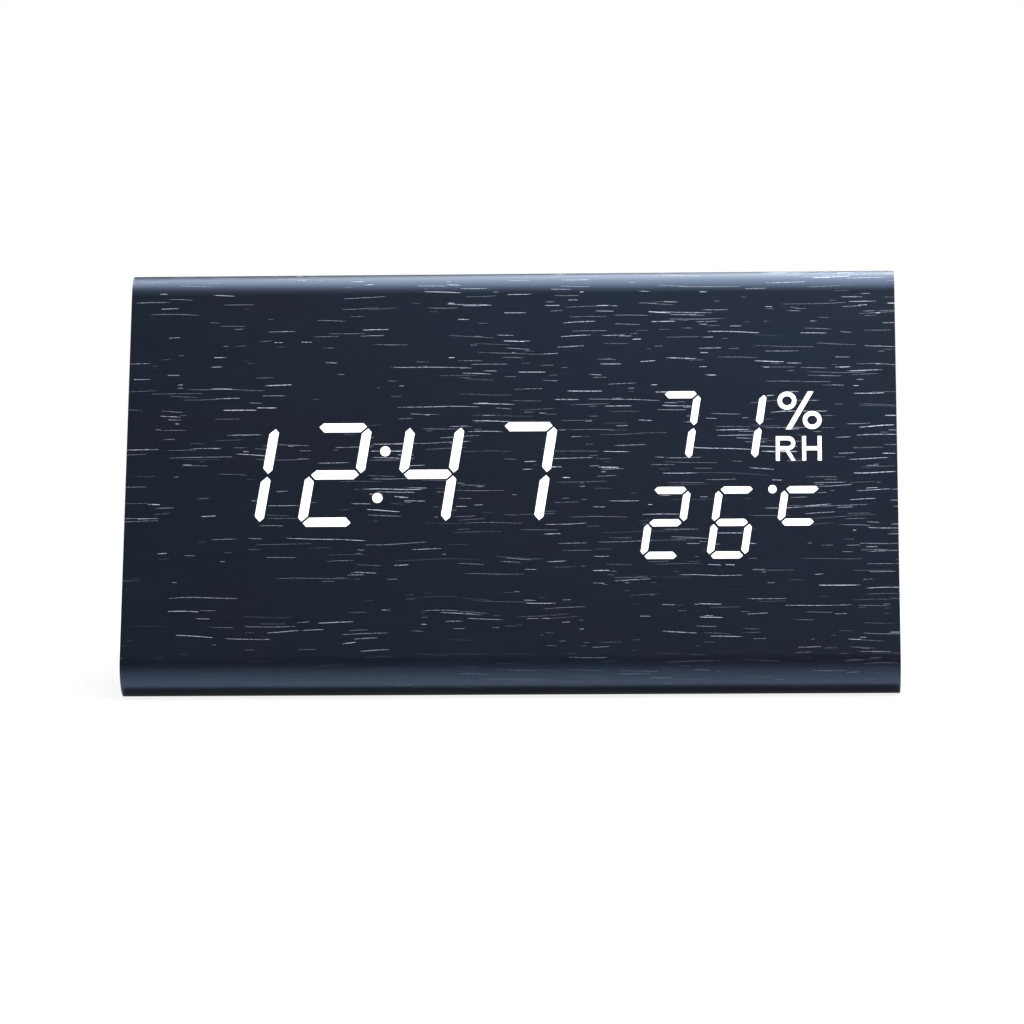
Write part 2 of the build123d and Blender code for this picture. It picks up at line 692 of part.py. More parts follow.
def rear_cover():
    plate = layer(cover_outline(0), 0, COVER_PLATE)
    plate = chamfer(plate.faces().sort_by(Axis.Z)[-1].edges(), COVER_EDGE)
    bay = block((BAY_MIDDLE, 0), (BAY_WIDTH, BAY_HEIGHT, BAY_DEPTH - COVER_PLATE), COVER_PLATE)
    posts = [post(place, POST_RADIUS, COVER_PLATE, MAIN_TOP) for place in MAIN_SCREWS]
    whole = plate + [bay, *posts]
    door_seat = block((BAY_MIDDLE, 0), (POCKET_WIDTH, POCKET_HEIGHT, DOOR_THICKNESS + DOOR_SEAT), 0)
    deep_height = POCKET_HEIGHT - DOOR_SHELF
    pocket = block((BAY_MIDDLE, -DOOR_SHELF / 2), (POCKET_WIDTH, deep_height, POCKET_DEPTH), 0)
    pin_length = POCKET_WIDTH + 2 * (HINGE_PIN_REACH + HINGE_PIN_END_ROOM)
    pin_hole = Rot(0, 90, 0) * Cylinder(HINGE_PIN + HINGE_PIN_CLEARANCE, pin_length)
    cuts = [door_seat, pocket, latch_notch(), Pos(BAY_MIDDLE, HINGE_HEIGHT, -HINGE_RADIUS) * pin_hole]
    hole = SCREW_RADIUS + SCREW_HOLE_CLEARANCE
    deepest = MAIN_TOP - MAIN_SCREW_REACH - COVER_GAP
    cuts += [post(place, hole, deepest, MAIN_TOP + OVERCUT) for place in MAIN_SCREWS]
    cuts += [post(place, hole, -OVERCUT, COVER_PLATE + OVERCUT) for place in COVER_SCREWS]
    head = SCREW_HEAD_RADIUS + COVER_GAP
    cuts += [post(place, head, -OVERCUT, SCREW_HEAD_HEIGHT) for place in COVER_SCREWS]
    for place in terminal_places():
        slot = (CONTACT + 2 * TAIL_GAP, TAIL_WIDTH + 2 * TAIL_GAP, BAY_FLOOR + 2 * OVERCUT)
        cuts.append(block(place, slot, POCKET_DEPTH - OVERCUT))
    return whole - cuts - cover_openings()


def rear_cover_screws():
    reach = COVER_SCREW_REACH - SCREW_HEAD_HEIGHT
    return [board_screw(place, SCREW_HEAD_HEIGHT, reach, False) for place in COVER_SCREWS]


def contact_side(index, positive):
    """Which end of the bay a cell's pole faces: cells lie head to tail."""
    side = 1 if index % 2 == 0 else -1
    return side if positive else -side


def contact_middle(side):
    return BAY_MIDDLE + side * (POCKET_WIDTH - CONTACT) / 2


def terminal_places():
    """Where the first cell's and the last cell's free poles pass through the floor of the bay."""
    first = (contact_middle(contact_side(0, True)), CELL_HEIGHTS[0])
    last = (contact_middle(contact_side(CELL_COUNT - 1, False)), CELL_HEIGHTS[-1])
    return first, last


def battery_cell(index):
    side = contact_side(index, True)
    can = Cylinder(CELL_RADIUS, CELL_LENGTH - CELL_NUB)
    can = fillet(can.edges().filter_by(GeomType.CIRCLE), CELL_EDGE)
    nub = Pos(0, 0, CELL_LENGTH / 2) * Cylinder(CELL_NUB_RADIUS, CELL_NUB)
    nub_edge = nub.edges().filter_by(GeomType.CIRCLE).sort_by(Axis.Z)[-1]
    cell = Pos(0, 0, -CELL_NUB / 2) * (can + fillet(nub_edge, CELL_EDGE))
    middle = BAY_MIDDLE + side * SPRING_LENGTH / 2
    return Pos(middle, CELL_HEIGHTS[index], -CELL_AXIS_DEPTH) * Rot(0, side * 90, 0) * cell


def contact_plates():
    """One plate at each free pole with a solder tail, and one bridge between each two neighbours."""
    top = CELL_AXIS_DEPTH - CONTACT_SIDE / 2
    plates = []
    for place in terminal_places():
        plate = block(place, (CONTACT, CONTACT_SIDE, CONTACT_SIDE), top)
        tail = block(place, (CONTACT, TAIL_WIDTH, BAY_DEPTH + TAIL_REACH - CELL_AXIS_DEPTH), CELL_AXIS_DEPTH)
        plates.append(plate + tail)
    for index in range(CELL_COUNT - 1):
        middle = (CELL_HEIGHTS[index] + CELL_HEIGHTS[index + 1]) / 2
        place = (contact_middle(contact_side(index, False)), middle)
        plates.append(block(place, (CONTACT, CELL_PITCH + CONTACT_SIDE, CONTACT_SIDE), top))
    return plates


def contact_springs():
    reach = SPRING_LENGTH - 2 * (SPRING_WIRE + SPRING_SEAT)
    path = Helix(pitch=reach / SPRING_TURNS, height=reach, radius=SPRING_RADIUS)
    wire = Plane(path @ 0, z_dir=path % 0) * Circle(SPRING_WIRE)
    coil = sweep(wire, path=path, is_frenet=True)
    springs = []
    for index, height in enumerate(CELL_HEIGHTS):
        side = contact_side(index, False)
        start = BAY_MIDDLE + side * (POCKET_WIDTH / 2 - CONTACT - SPRING_WIRE - SPRING_SEAT)
        springs.append(Pos(start, height, -CELL_AXIS_DEPTH) * Rot(0, -side * 90, 0) * coil)
    return springs


def battery_lead(index, height):
    """Wire from a contact's tail along the back of the bay to its pad on the main board."""
    tail = terminal_places()[index]
    depth = BAY_DEPTH + LEAD_WIRE + LEAD_WIRE_GAP
    start = Vector(tail[0] + CONTACT / 2, tail[1], -depth)
    pad = Vector(MAIN_MIDDLE - MAIN_WIDTH / 2 + PAD_INSET, height, -depth)
    path = FilletPolyline(start, pad, Vector(pad.X, pad.Y, -MAIN_BACK), radius=LEAD_BEND)
    return sweep(Plane(start, z_dir=path % 0) * Circle(LEAD_WIRE), path=path)


def battery_door():
    top = POCKET_HEIGHT / 2 - DOOR_GAP
    panel_height = top - HINGE_HEIGHT
    panel = block((0, HINGE_HEIGHT + panel_height / 2), (DOOR_WIDTH, panel_height, DOOR_THICKNESS), 0)
    upper = panel.edges().filter_by(Axis.Z).sort_by(Axis.Y)[-2:]
    panel = fillet(upper, DOOR_CORNER)
    outline = panel.faces().sort_by(Axis.Z)[-1].edges().sort_by(Axis.Y)
    panel = chamfer(outline[1:], DOOR_EDGE)
    barrel = Rot(0, 90, 0) * Cylinder(HINGE_RADIUS, DOOR_WIDTH)
    pins = Rot(0, 90, 0) * Cylinder(HINGE_PIN, DOOR_WIDTH + 2 * (DOOR_GAP + HINGE_PIN_REACH))
    latch_size = (LATCH_WIDTH, LATCH_REACH + DOOR_GAP + DOOR_CORNER, LATCH_THICKNESS)
    latch = block((0, top + (LATCH_REACH + DOOR_GAP - DOOR_CORNER) / 2), latch_size, 0)
    length, width, height = GRIP_SIZE
    grips = [
        block((0, top - GRIP_INSET - i * GRIP_PITCH), (length, width, height + DOOR_THICKNESS / 2), -height)
        for i in range(GRIP_COUNT)
    ]
    hinge = Pos(0, HINGE_HEIGHT, -HINGE_RADIUS) * (barrel + pins)
    return Pos(BAY_MIDDLE, 0, 0) * (panel + [hinge, latch, *grips])


# Main board
def main_board():
    sheet = block((MAIN_MIDDLE, 0), (MAIN_WIDTH, MAIN_HEIGHT, CIRCUIT_BOARD), MAIN_TOP)
    radius = SCREW_RADIUS + SCREW_HOLE_CLEARANCE
    return sheet - [post(place, radius, 0, MAIN_BACK + OVERCUT) for place in MAIN_SCREWS]


def main_board_screws():
    reach = MAIN_SCREW_REACH + CIRCUIT_BOARD
    return [board_screw(place, MAIN_BACK, reach, True) for place in MAIN_SCREWS]


def clock_crystal():
    can = Rot(0, 90, 0) * Cylinder(CRYSTAL_RADIUS, CRYSTAL_LENGTH)
    place = on_main(CRYSTAL_CENTRE)
    return Pos(place[0], place[1], -MAIN_BACK - CRYSTAL_RADIUS) * can


def round_part(centre, radius, height, edge):
    """Upright round component on the outer side of the main board, with an eased rim."""
    body = post(on_foot(centre), radius, MAIN_TOP - height, MAIN_TOP)
    rim = body.edges().filter_by(GeomType.CIRCLE).sort_by(Axis.Z)[-1]
    return fillet(rim, edge)


def filter_capacitor():
    body = post(on_main(CAPACITOR_CENTRE), CAPACITOR_RADIUS, MAIN_BACK, MAIN_BACK + CAPACITOR_HEIGHT)
    rim = body.edges().filter_by(GeomType.CIRCLE).sort_by(Axis.Z)[0]
    return fillet(rim, CAPACITOR_EDGE)


def buzzer():
    top = MAIN_TOP - BUZZER_HEIGHT
    body = round_part(BUZZER_CENTRE, BUZZER_RADIUS, BUZZER_HEIGHT, BUZZER_EDGE)
    return body - post(on_foot(BUZZER_CENTRE), BUZZER_HOLE, top - OVERCUT, top + BUZZER_HOLE_DEPTH)


def microphone():
    top = MAIN_TOP - MICROPHONE_HEIGHT
    body = round_part(MICROPHONE_CENTRE, MICROPHONE_RADIUS, MICROPHONE_HEIGHT, BUZZER_EDGE)
    hole = post(on_foot(MICROPHONE_CENTRE), MICROPHONE_HOLE, top - OVERCUT, top + MICROPHONE_HOLE_DEPTH)
    return body - hole


def humidity_sensor():
    top = MAIN_TOP - SENSOR_SIZE[2]
    place = on_foot(SENSOR_CENTRE)
    return block(place, SENSOR_SIZE, top) - block(place, SENSOR_WINDOW, top)


def thermistor():
    return round_part(THERMISTOR_CENTRE, THERMISTOR_RADIUS, THERMISTOR_HEIGHT, THERMISTOR_RADIUS / 2)


def usb_outline(inset):
    """Supply socket outline: a rectangle with its two lower corners cut off."""
    width, height = USB_SIZE
    shape = Rectangle(width - 2 * inset, height - 2 * inset)
    lower = shape.vertices().sort_by(Axis.Y)[:2]
    return Pos(*on_foot(USB_CENTRE)) * chamfer(lower, USB_CHAMFER)


def usb_shell():
    return layer(usb_outline(0) - usb_outline(USB_WALL), USB_RECESS, MAIN_TOP)


def usb_tongue():
    base = layer(usb_outline(USB_WALL), MAIN_TOP - USB_BASE, MAIN_TOP)
    top = USB_RECESS + USB_TONGUE_RECESS
    return base + block(on_foot(USB_CENTRE), (*USB_TONGUE, MAIN_TOP - USB_BASE - top), top)


# Buttons
def switch_body(place):
    body = block(place, (SWITCH_SIDE, SWITCH_SIDE, SWITCH_BODY), SWITCH_TOP)
    bore = SWITCH_PLUNGER + SWITCH_PLUNGER_CLEARANCE
    return body - post(place, bore, SWITCH_TOP - OVERCUT, MAIN_TOP - SWITCH_BORE_FLOOR)


def switch_plunger(place):
    return post(place, SWITCH_PLUNGER, PLUNGER_TOP, SWITCH_TOP + SWITCH_PLUNGER_INSIDE)


def button_mark(name):
    """Sunk mark of a button: a triangle up or down, or a ring."""
    if name == "set":
        return Circle(BUTTON_MARK) - Circle(BUTTON_MARK / 2)
    turn = 90 if name == "up" else -90
    return RegularPolygon(BUTTON_MARK, 3, rotation=turn)


def button_cap(name, place):
    head = post((0, 0), BUTTON_RADIUS, -BUTTON_PROUD, FLANGE_TOP)
    rim = head.edges().filter_by(GeomType.CIRCLE).sort_by(Axis.Z)[-1]
    head = fillet(rim, BUTTON_EDGE)
    flange = post((0, 0), BUTTON_FLANGE, FLANGE_TOP, STEM_TOP)
    stem = post((0, 0), BUTTON_STEM, STEM_TOP, PLUNGER_TOP)
    mark = layer(button_mark(name), -BUTTON_PROUD - OVERCUT, BUTTON_MARK_DEPTH - BUTTON_PROUD)
    return Pos(*place) * (head + [flange, stem] - mark)


# All pieces by node name
def whole_case():
    return {
        "front_board": front_board(),
        "rear_board": rear_board(),
        "base_board": case_board(0, 1),
        "end_panel_left": end_panel(-1),
        "end_panel_right": end_panel(1),
        "veneer_wrap": veneer_wrap(),
        "base_film": base_film(),
        "end_film_left": end_film(-1),
        "end_film_right": end_film(1),
        "ribbon_cable": ribbon_cable(),
    }


def front_pieces():
    header = (CABLE_X, HEADER_HEIGHT_ON_DISPLAY)
    pieces = {name: lit_mark(marks) for name, marks in MARKS.items()}
    pieces |= {
        "display_mask": layer(display_outline(0), FILM, FILM + MASK),
        "segment_reflector": segment_reflector(),
        "segment_leds": segment_leds(),
        "display_board": display_board(),
        "display_driver_chip": chip(DRIVER_CENTRE, DRIVER_CHIP, CIRCUIT_BACK),
        "display_board_screws": display_board_screws(),
        "display_header": block(header, HEADER_SIZE, CIRCUIT_BACK),
    }
    return pieces


def rear_pieces():
    pieces = {
        "rear_cover": rear_cover(),
        "rear_cover_screws": rear_cover_screws(),
        "battery_door": battery_door(),
        "contact_plates": contact_plates(),
        "contact_springs": contact_springs(),
        "battery_lead_red": battery_lead(0, CELL_HEIGHTS[0]),
        "battery_lead_black": battery_lead(1, CELL_HEIGHTS[-1]),
        "main_board": main_board(),
        "main_board_screws": main_board_screws(),
        "main_header": block(on_foot((0, HEADER_EDGE_ON_MAIN)), HEADER_SIZE, MAIN_BACK),
        "controller_chip": chip(on_main(CONTROLLER_CENTRE), CONTROLLER_CHIP, MAIN_BACK),
        "clock_crystal": clock_crystal(),
        "filter_capacitor": filter_capacitor(),
        "buzzer": buzzer(),
        "humidity_sensor": humidity_sensor(),
        "thermistor": thermistor(),
        "microphone": microphone(),
        "usb_shell": usb_shell(),
        "usb_tongue": usb_tongue(),
        "switch_bodies": [switch_body(place) for place in BUTTON_PLACES],
    }
    for index in range(CELL_COUNT):
        pieces[f"battery_cell_{index + 1}"] = battery_cell(index)
    for name, place in zip(BUTTON_NAMES, BUTTON_PLACES):
        pieces[f"button_{name}"] = button_cap(name, place)
        pieces[f"switch_plunger_{name}"] = switch_plunger(place)
    return pieces


def placed(plane, piece):
    """A piece, or a group of separate solids, moved from its face's frame to the case's frame."""
    if isinstance(piece, list):
        return Compound(children=[plane * solid for solid in piece])
    return plane * piece


def main():
    pieces = whole_case()
    pieces |= {name: placed(FRONT, piece) for name, piece in front_pieces().items()}
    pieces |= {name: placed(REAR, piece) for name, piece in rear_pieces().items()}
    os.makedirs("parts", exist_ok=True)
    for name, piece in pieces.items():
        export_step(piece, f"parts/{name}.step")
    print(f"{len(pieces)} pieces, case width {2 * CASE_HALF:.2f} mm")


main()
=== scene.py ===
from math import atan2, cos, pi, radians, sin

import bmesh
import bpy
from bpy.props import FloatProperty, FloatVectorProperty, PointerProperty, StringProperty
from mathutils import Matrix, Vector


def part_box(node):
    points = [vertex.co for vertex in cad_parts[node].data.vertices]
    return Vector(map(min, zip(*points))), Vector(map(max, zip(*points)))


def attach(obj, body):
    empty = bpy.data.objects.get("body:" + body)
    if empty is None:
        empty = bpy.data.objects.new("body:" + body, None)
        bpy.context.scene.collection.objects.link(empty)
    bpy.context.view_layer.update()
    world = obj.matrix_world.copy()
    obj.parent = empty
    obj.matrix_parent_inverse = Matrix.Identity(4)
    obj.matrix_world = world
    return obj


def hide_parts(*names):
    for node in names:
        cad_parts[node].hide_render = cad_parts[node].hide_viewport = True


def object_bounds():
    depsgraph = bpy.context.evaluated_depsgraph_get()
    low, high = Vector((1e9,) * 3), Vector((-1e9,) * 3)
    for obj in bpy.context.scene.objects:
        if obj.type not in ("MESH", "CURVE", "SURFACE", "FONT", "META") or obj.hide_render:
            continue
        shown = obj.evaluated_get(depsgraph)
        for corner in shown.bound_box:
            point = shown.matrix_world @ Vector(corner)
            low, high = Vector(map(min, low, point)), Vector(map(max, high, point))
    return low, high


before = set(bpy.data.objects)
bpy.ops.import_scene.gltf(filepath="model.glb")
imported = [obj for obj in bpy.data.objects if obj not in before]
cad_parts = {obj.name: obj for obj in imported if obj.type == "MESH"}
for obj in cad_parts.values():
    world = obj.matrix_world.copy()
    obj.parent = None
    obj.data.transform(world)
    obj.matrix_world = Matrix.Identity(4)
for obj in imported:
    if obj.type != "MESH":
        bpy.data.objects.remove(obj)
CAD_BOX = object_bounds()

bl_info = {
    "name": "LED Desk Clock",
    "version": (1, 0, 0),
    "blender": (4, 5, 0),
    "location": "View3D > Sidebar > Desk Clock",
    "description": "Dresses a wood-grain LED desk clock and sets up its studio",
    "category": "Object",
}

MM = 0.001
SHARP_EDGE = radians(30)
MERGE_GAP = 0.002 * MM

# Grain of the film, in millimetres along and across it, with heights above the table
GRAIN_MAP = "grain"
GRAIN_WAVE = (38.0, 17.0)
GRAIN_BEND = 3.4
PATCH_SIZE = (42.0, 15.0)
PATCH_LEVELS = (0.4, 0.62)
FIBRE_LENGTH = 16.0
FIBRES_PER_MM = 2.4
FIBRE_LEVELS = (0.35, 0.75)
FIBRE_RELIEF = 0.06
FIBRE_SHARE = 0.7
FIBRE_LIGHTER = 1.7
FIBRE_DULLING = 0.03

# Pores of the film: cells, half lengths and half widths of each size, its part of the share and a shift
PORE_SIZES = (
    {"cell": (20.0, 2.2), "length": (3.0, 8.5), "width": (0.07, 0.11), "part": 1.0, "shift": 3.7},
    {"cell": (9.5, 1.4), "length": (1.2, 4.2), "width": (0.07, 0.13), "part": 1.0, "shift": 11.3},
    {"cell": (4.4, 1.2), "length": (0.4, 1.4), "width": (0.06, 0.10), "part": 0.4, "shift": 23.9},
)
PORE_SLOPE = 0.07
PORE_TAPER = 0.45
PORE_THINNEST = 0.3
PORE_CORE = 0.25
PORE_TIP = 0.15
PORE_DIMMEST = 0.16
PORE_DULLING = 0.2
PORE_DRIFT = 0.0012
PORE_FADE = (6.5, 11.5)
PORE_FADED = 0.2
# Painted light and shade on the pores: heights over which they are drawn lighter towards the top, as
# light falls from above, and the level of the painted shade on the lowest pores
PORE_PAINTED_LIGHT_RISE = (12.0, 68.0)
PORE_PAINTED_SHADE_LEVEL = 0.55
CROWD_SIZE = (34.0, 9.0)
CROWD_LEVELS = (0.32, 0.64)
CROWD_DIMMEST = 0.35
BREAKS_PER_MM = (1.7, 4.0)
BREAK_LEVELS = (0.36, 0.52)
BREAK_DIMMEST = 0.35

# Words and marks on the back
INK = 0.03 * MM
CAPITAL_SHARE = 0.69
WORD_RISE = 1.7
MARK_DEPTH = 0.25 * MM
MARK_RADIUS = 1.55 * MM
RING_RADII = (0.95 * MM, 1.6 * MM)
RING_STEPS = 48
ARROW_RADIUS = 2.0 * MM
ARROW_RISE = 0.25 * MM
ARROW_EDGE = 0.08 * MM
ARROW_PLACE = 0.58

# Contacts of the supply socket
TERMINALS = 5
TERMINAL_SIZE = (0.36 * MM, 0.06 * MM, 2.6 * MM)
TERMINAL_PITCH = 0.65 * MM
TONGUE_HALF = 0.35 * MM

# Other finishes
NOISE_LEVELS = (0.3, 0.7)
FINE_SHARE = 0.6

# Copper runs of the circuit boards
LANE_SIZE = 9.0
RUNS_PER_MM = 0.35
RUN_BEND = 6.0
RUN_LEVELS = (0.30, 0.36)

# Battery cells, in millimetres from the head
CELL_CAP = 1.75
CELL_FOOT = 0.55
CELL_BAND = (9.0, 13.0)
CELL_SIGN = 5.5
SIGN_LONG = 1.5
SIGN_THIN = 0.28
SIGN_FACING = 1.0
PRINT_EDGE = 0.05

# Stage, in metres, and the light and shadow on the table, in millimetres
TABLE_HALF = 4.0
SENSOR_WIDTH = 36
BOX_PLACE = (0.14, 0.12, 0.54)
BOX_SIZE = (0.77, 0.7)
STRIP_PLACE = (0.2, 1.1, 0.17)
STRIP_SIZE = (1.4, 0.16)
SURROUND_TINT = (0.93, 0.96, 1.0)
WHITE = (1.0, 1.0, 1.0)
SHADOW_REACH = (90.0, 420.0)
SHADOW_WHITE = 0.86
CONTACT = 1.0
CONTACT_BLUR = 0.2
POOL_FALL = 1.3
POOL_END = 14.0

BOARDS = ("front_board", "rear_board", "base_board", "end_panel_left", "end_panel_right")
LIT_MARKS = (
    "lit_hours", "lit_colon", "lit_minutes", "lit_humidity", "lit_humidity_unit",
    "lit_temperature", "lit_temperature_unit",
)
CELLS = ("battery_cell_1", "battery_cell_2", "battery_cell_3")
BUTTONS = ("set", "up", "down")

# Directions of the sloping back and the section of the case
DEPTH = CAD_BOX[1].y - CAD_BOX[0].y
HEIGHT = CAD_BOX[1].z - CAD_BOX[0].z
ROUNDING = CAD_BOX[1].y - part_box("base_film")[1].y
LEAN = atan2(DEPTH / 2 - ROUNDING, HEIGHT - 2 * ROUNDING)
REAR_RIGHT = Vector((-1, 0, 0))
REAR_UP = Vector((0, -sin(LEAN), cos(LEAN)))
REAR_OUT = Vector((0, cos(LEAN), sin(LEAN)))


def reach(node, direction):
    """Lowest and highest place of a CAD node along a direction."""
    places = [vertex.co.dot(direction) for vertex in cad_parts[node].data.vertices]
    return min(places), max(places)


def middle(node, direction):
    return sum(reach(node, direction)) / 2


def on_rear(right, up, out):
    """Frame on the sloping back: its first axis to the right as seen from behind, its third outwards."""
    place = REAR_RIGHT * right + REAR_UP * up + REAR_OUT * out
    turn = Matrix((REAR_RIGHT, REAR_UP, REAR_OUT)).transposed()
    return Matrix.Translation(place) @ turn.to_4x4()


# Finishes
class Value:
    """A number that varies over a surface. Arithmetic on it adds Math nodes."""

    def __init__(self, nodes, socket):
        self.nodes = nodes
        self.socket = socket

    def maths(self, operation, *operands):
        return self.nodes.node("ShaderNodeMath", {"operation": operation}, dict(enumerate(operands)))

    def __add__(self, other):
        return self.maths("ADD", self, other)

    def __radd__(self, other):
        return self.maths("ADD", other, self)

    def __sub__(self, other):
        return self.maths("SUBTRACT", self, other)

    def __rsub__(self, other):
        return self.maths("SUBTRACT", other, self)

    def __mul__(self, other):
        return self.maths("MULTIPLY", self, other)

    def __rmul__(self, other):
        return self.maths("MULTIPLY", other, self)

    def __truediv__(self, other):
        return self.maths("DIVIDE", self, other)

    def __rtruediv__(self, other):
        return self.maths("DIVIDE", other, self)

    def __pow__(self, other):
        return self.maths("POWER", self, other)

    def __abs__(self):
        return self.maths("ABSOLUTE", self)

    def most(self, other):
        return self.maths("MAXIMUM", self, other)

    def below(self, other):
        return self.maths("LESS_THAN", self, other)


class Nodes:
    """The nodes of a material or of the surround."""

    def __init__(self, tree):
        self.tree = tree

    def node(self, kind, settings=None, sockets=None, outputs=(0,)):
        """Adds a node: its settings first, then the value or link of each socket."""
        made = self.tree.nodes.new(kind)
        for key, setting in (settings or {}).items():
            setattr(made, key, setting)
        for key, given in (sockets or {}).items():
            self.feed(made.inputs[key], given)
        values = [Value(self, made.outputs[key]) for key in outputs]
        return values[0] if len(values) == 1 else values

    def feed(self, socket, given):
        if isinstance(given, Value):
            self.tree.links.new(given.socket, socket)
        else:
            socket.default_value = given

    def end(self, output, shader):
        """Shows a shader at the end of the tree."""
        self.feed(self.tree.nodes[output].inputs["Surface"], shader)


class Finish(Nodes):
    """A material and the nodes that make its look. Its patterns are measured in millimetres."""

    def __init__(self, name):
        self.material = bpy.data.materials.new(name)
        self.material.use_nodes = True
        super().__init__(self.material.node_tree)
        self.shader = self.tree.nodes["Principled BSDF"]

    def surface(self, sockets):
        for key, given in sockets.items():
            self.feed(self.shader.inputs[key], given)

    def place(self):
        """Place on the piece, in millimetres."""
        return self.in_millimetres(self.node("ShaderNodeTexCoord", outputs=("Object",)))

    def in_millimetres(self, vector):
        return self.stretched(vector, (1 / MM, 1 / MM, 1 / MM))

    def stretched(self, vector, factors):
        return self.node("ShaderNodeVectorMath", {"operation": "MULTIPLY"}, {0: vector, 1: factors})

    def parts(self, vector):
        return self.node("ShaderNodeSeparateXYZ", None, {0: vector}, outputs=(0, 1, 2))

    def vector(self, x, y, z=0.0):
        return self.node("ShaderNodeCombineXYZ", None, {0: x, 1: y, 2: z})

    def noise(self, vector, scale=1.0, detail=2.0, roughness=0.5):
        sockets = {"Vector": vector, "Scale": scale, "Detail": detail, "Roughness": roughness}
        return self.node("ShaderNodeTexNoise", None, sockets)

    def cells(self, vector, flat=True):
        """Cell pattern: distance to the nearest point, a random colour of its cell, and that point."""
        settings = {"voronoi_dimensions": "2D" if flat else "3D"}
        sockets = {"Vector": vector, "Scale": 1.0}
        return self.node("ShaderNodeTexVoronoi", settings, sockets, ("Distance", "Color", "Position"))

    def step(self, value, low, high):
        """Smooth rise from 0 at one value to 1 at another, or a fall where the first is higher."""
        sockets = {"Value": value, "From Min": low, "From Max": high}
        return self.node("ShaderNodeMapRange", {"interpolation_type": "SMOOTHSTEP"}, sockets)

    def mix(self, share, first, second):
        return self.node("ShaderNodeMix", {"data_type": "RGBA"}, {0: share, 6: first, 7: second}, (2,))

    def bump(self, height, depth):
        """Relief of a height from 0 to 1, whose full depth is given in millimetres."""
        sockets = {"Strength": 1.0, "Distance": depth * MM, "Height": height}
        return self.node("ShaderNodeBump", None, sockets)


def rgba(colour, level=1.0):
    return (*[channel * level for channel in colour], 1.0)


def lifted(lowest, share):
    """Level that goes from a lowest one to 1 as a share goes from 0 to 1."""
    return lowest + (1 - lowest) * share


def varied(level, noise, spread):
    """A level that a noise moves up and down within a spread."""
    return level + (noise - 0.5) * spread


def toned(finish, noise, colour, darker, lighter):
    """A colour that a noise makes darker and lighter."""
    return finish.mix(finish.step(noise, *NOISE_LEVELS), rgba(colour, darker), rgba(colour, lighter))


def speckle(finish, grain, detail=3.0):
    """Fine even noise, its grain in millimetres."""
    return finish.noise(finish.place(), 1 / grain, detail)


def dress(finish, *nodes):
    """Puts a finish on CAD nodes."""
    for node in nodes:
        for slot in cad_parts[node].material_slots:
            slot.material = finish.material


# Making of pieces
def piece(name, mesh_maker, finish, body):
    """New object at the origin from a bmesh, riding on a body."""
    mesh = bpy.data.meshes.new(name)
    mesh_maker.to_mesh(mesh)
    mesh_maker.free()
    mesh.materials.append(finish.material)
    made = bpy.data.objects.new(name, mesh)
    bpy.context.scene.collection.objects.link(made)
    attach(made, body)
    return made


def merged_copy(node):
    """The mesh of a CAD node with its loose triangles joined."""
    shape = bmesh.new()
    shape.from_mesh(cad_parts[node].data)
    bmesh.ops.remove_doubles(shape, verts=shape.verts, dist=MERGE_GAP)
    return shape


def raised(shape, thickness):
    """Gives the flat faces of a shape a thickness along its third axis."""
    result = bmesh.ops.extrude_face_region(shape, geom=shape.faces[:])
    moved = [item for item in result["geom"] if isinstance(item, bmesh.types.BMVert)]
    bmesh.ops.translate(shape, verts=moved, vec=(0, 0, thickness))
    bmesh.ops.recalc_face_normals(shape, faces=shape.faces)


def bevelled(shape, width, steps):
    """Takes the sharpness off every edge of a shape."""
    bmesh.ops.bevel(
        shape, geom=shape.edges[:], offset=width, affect="EDGES", segments=steps, profile=0.5, material=-1
    )


def word_shape(words, height, thickness):
    """Flat raised word about the origin, its capitals of a height."""
    curve = bpy.data.curves.new("word", "FONT")
    curve.body = words
    curve.align_x = "CENTER"
    curve.align_y = "CENTER"
    curve.size = height / CAPITAL_SHARE
    holder = bpy.data.objects.new("word", curve)
    mesh = bpy.data.meshes.new_from_object(holder)
    shape = bmesh.new()
    shape.from_mesh(mesh)
    bmesh.ops.remove_doubles(shape, verts=shape.verts, dist=MERGE_GAP)
    raised(shape, thickness)
    bpy.data.objects.remove(holder)
    bpy.data.curves.remove(curve)
    bpy.data.meshes.remove(mesh)
    return shape


def triangle(radius, turn=0.0):
    """Flat triangle about the origin, a corner upwards."""
    shape = bmesh.new()
    bmesh.ops.create_circle(shape, cap_ends=True, radius=radius, segments=3)
    bmesh.ops.rotate(shape, cent=(0, 0, 0), matrix=Matrix.Rotation(turn, 3, "Z"), verts=shape.verts)
    return shape


def ring(inner, outer):
    """Flat ring about the origin."""
    shape = bmesh.new()
    ends = [shape.verts.new((radius, 0, 0)) for radius in (inner, outer)]
    line = shape.edges.new(ends)
    bmesh.ops.spin(
        shape, geom=[*ends, line], cent=(0, 0, 0), axis=(0, 0, 1), angle=2 * pi, steps=RING_STEPS,
        use_merge=True,
    )
    bmesh.ops.recalc_face_normals(shape, faces=shape.faces)
    return shape


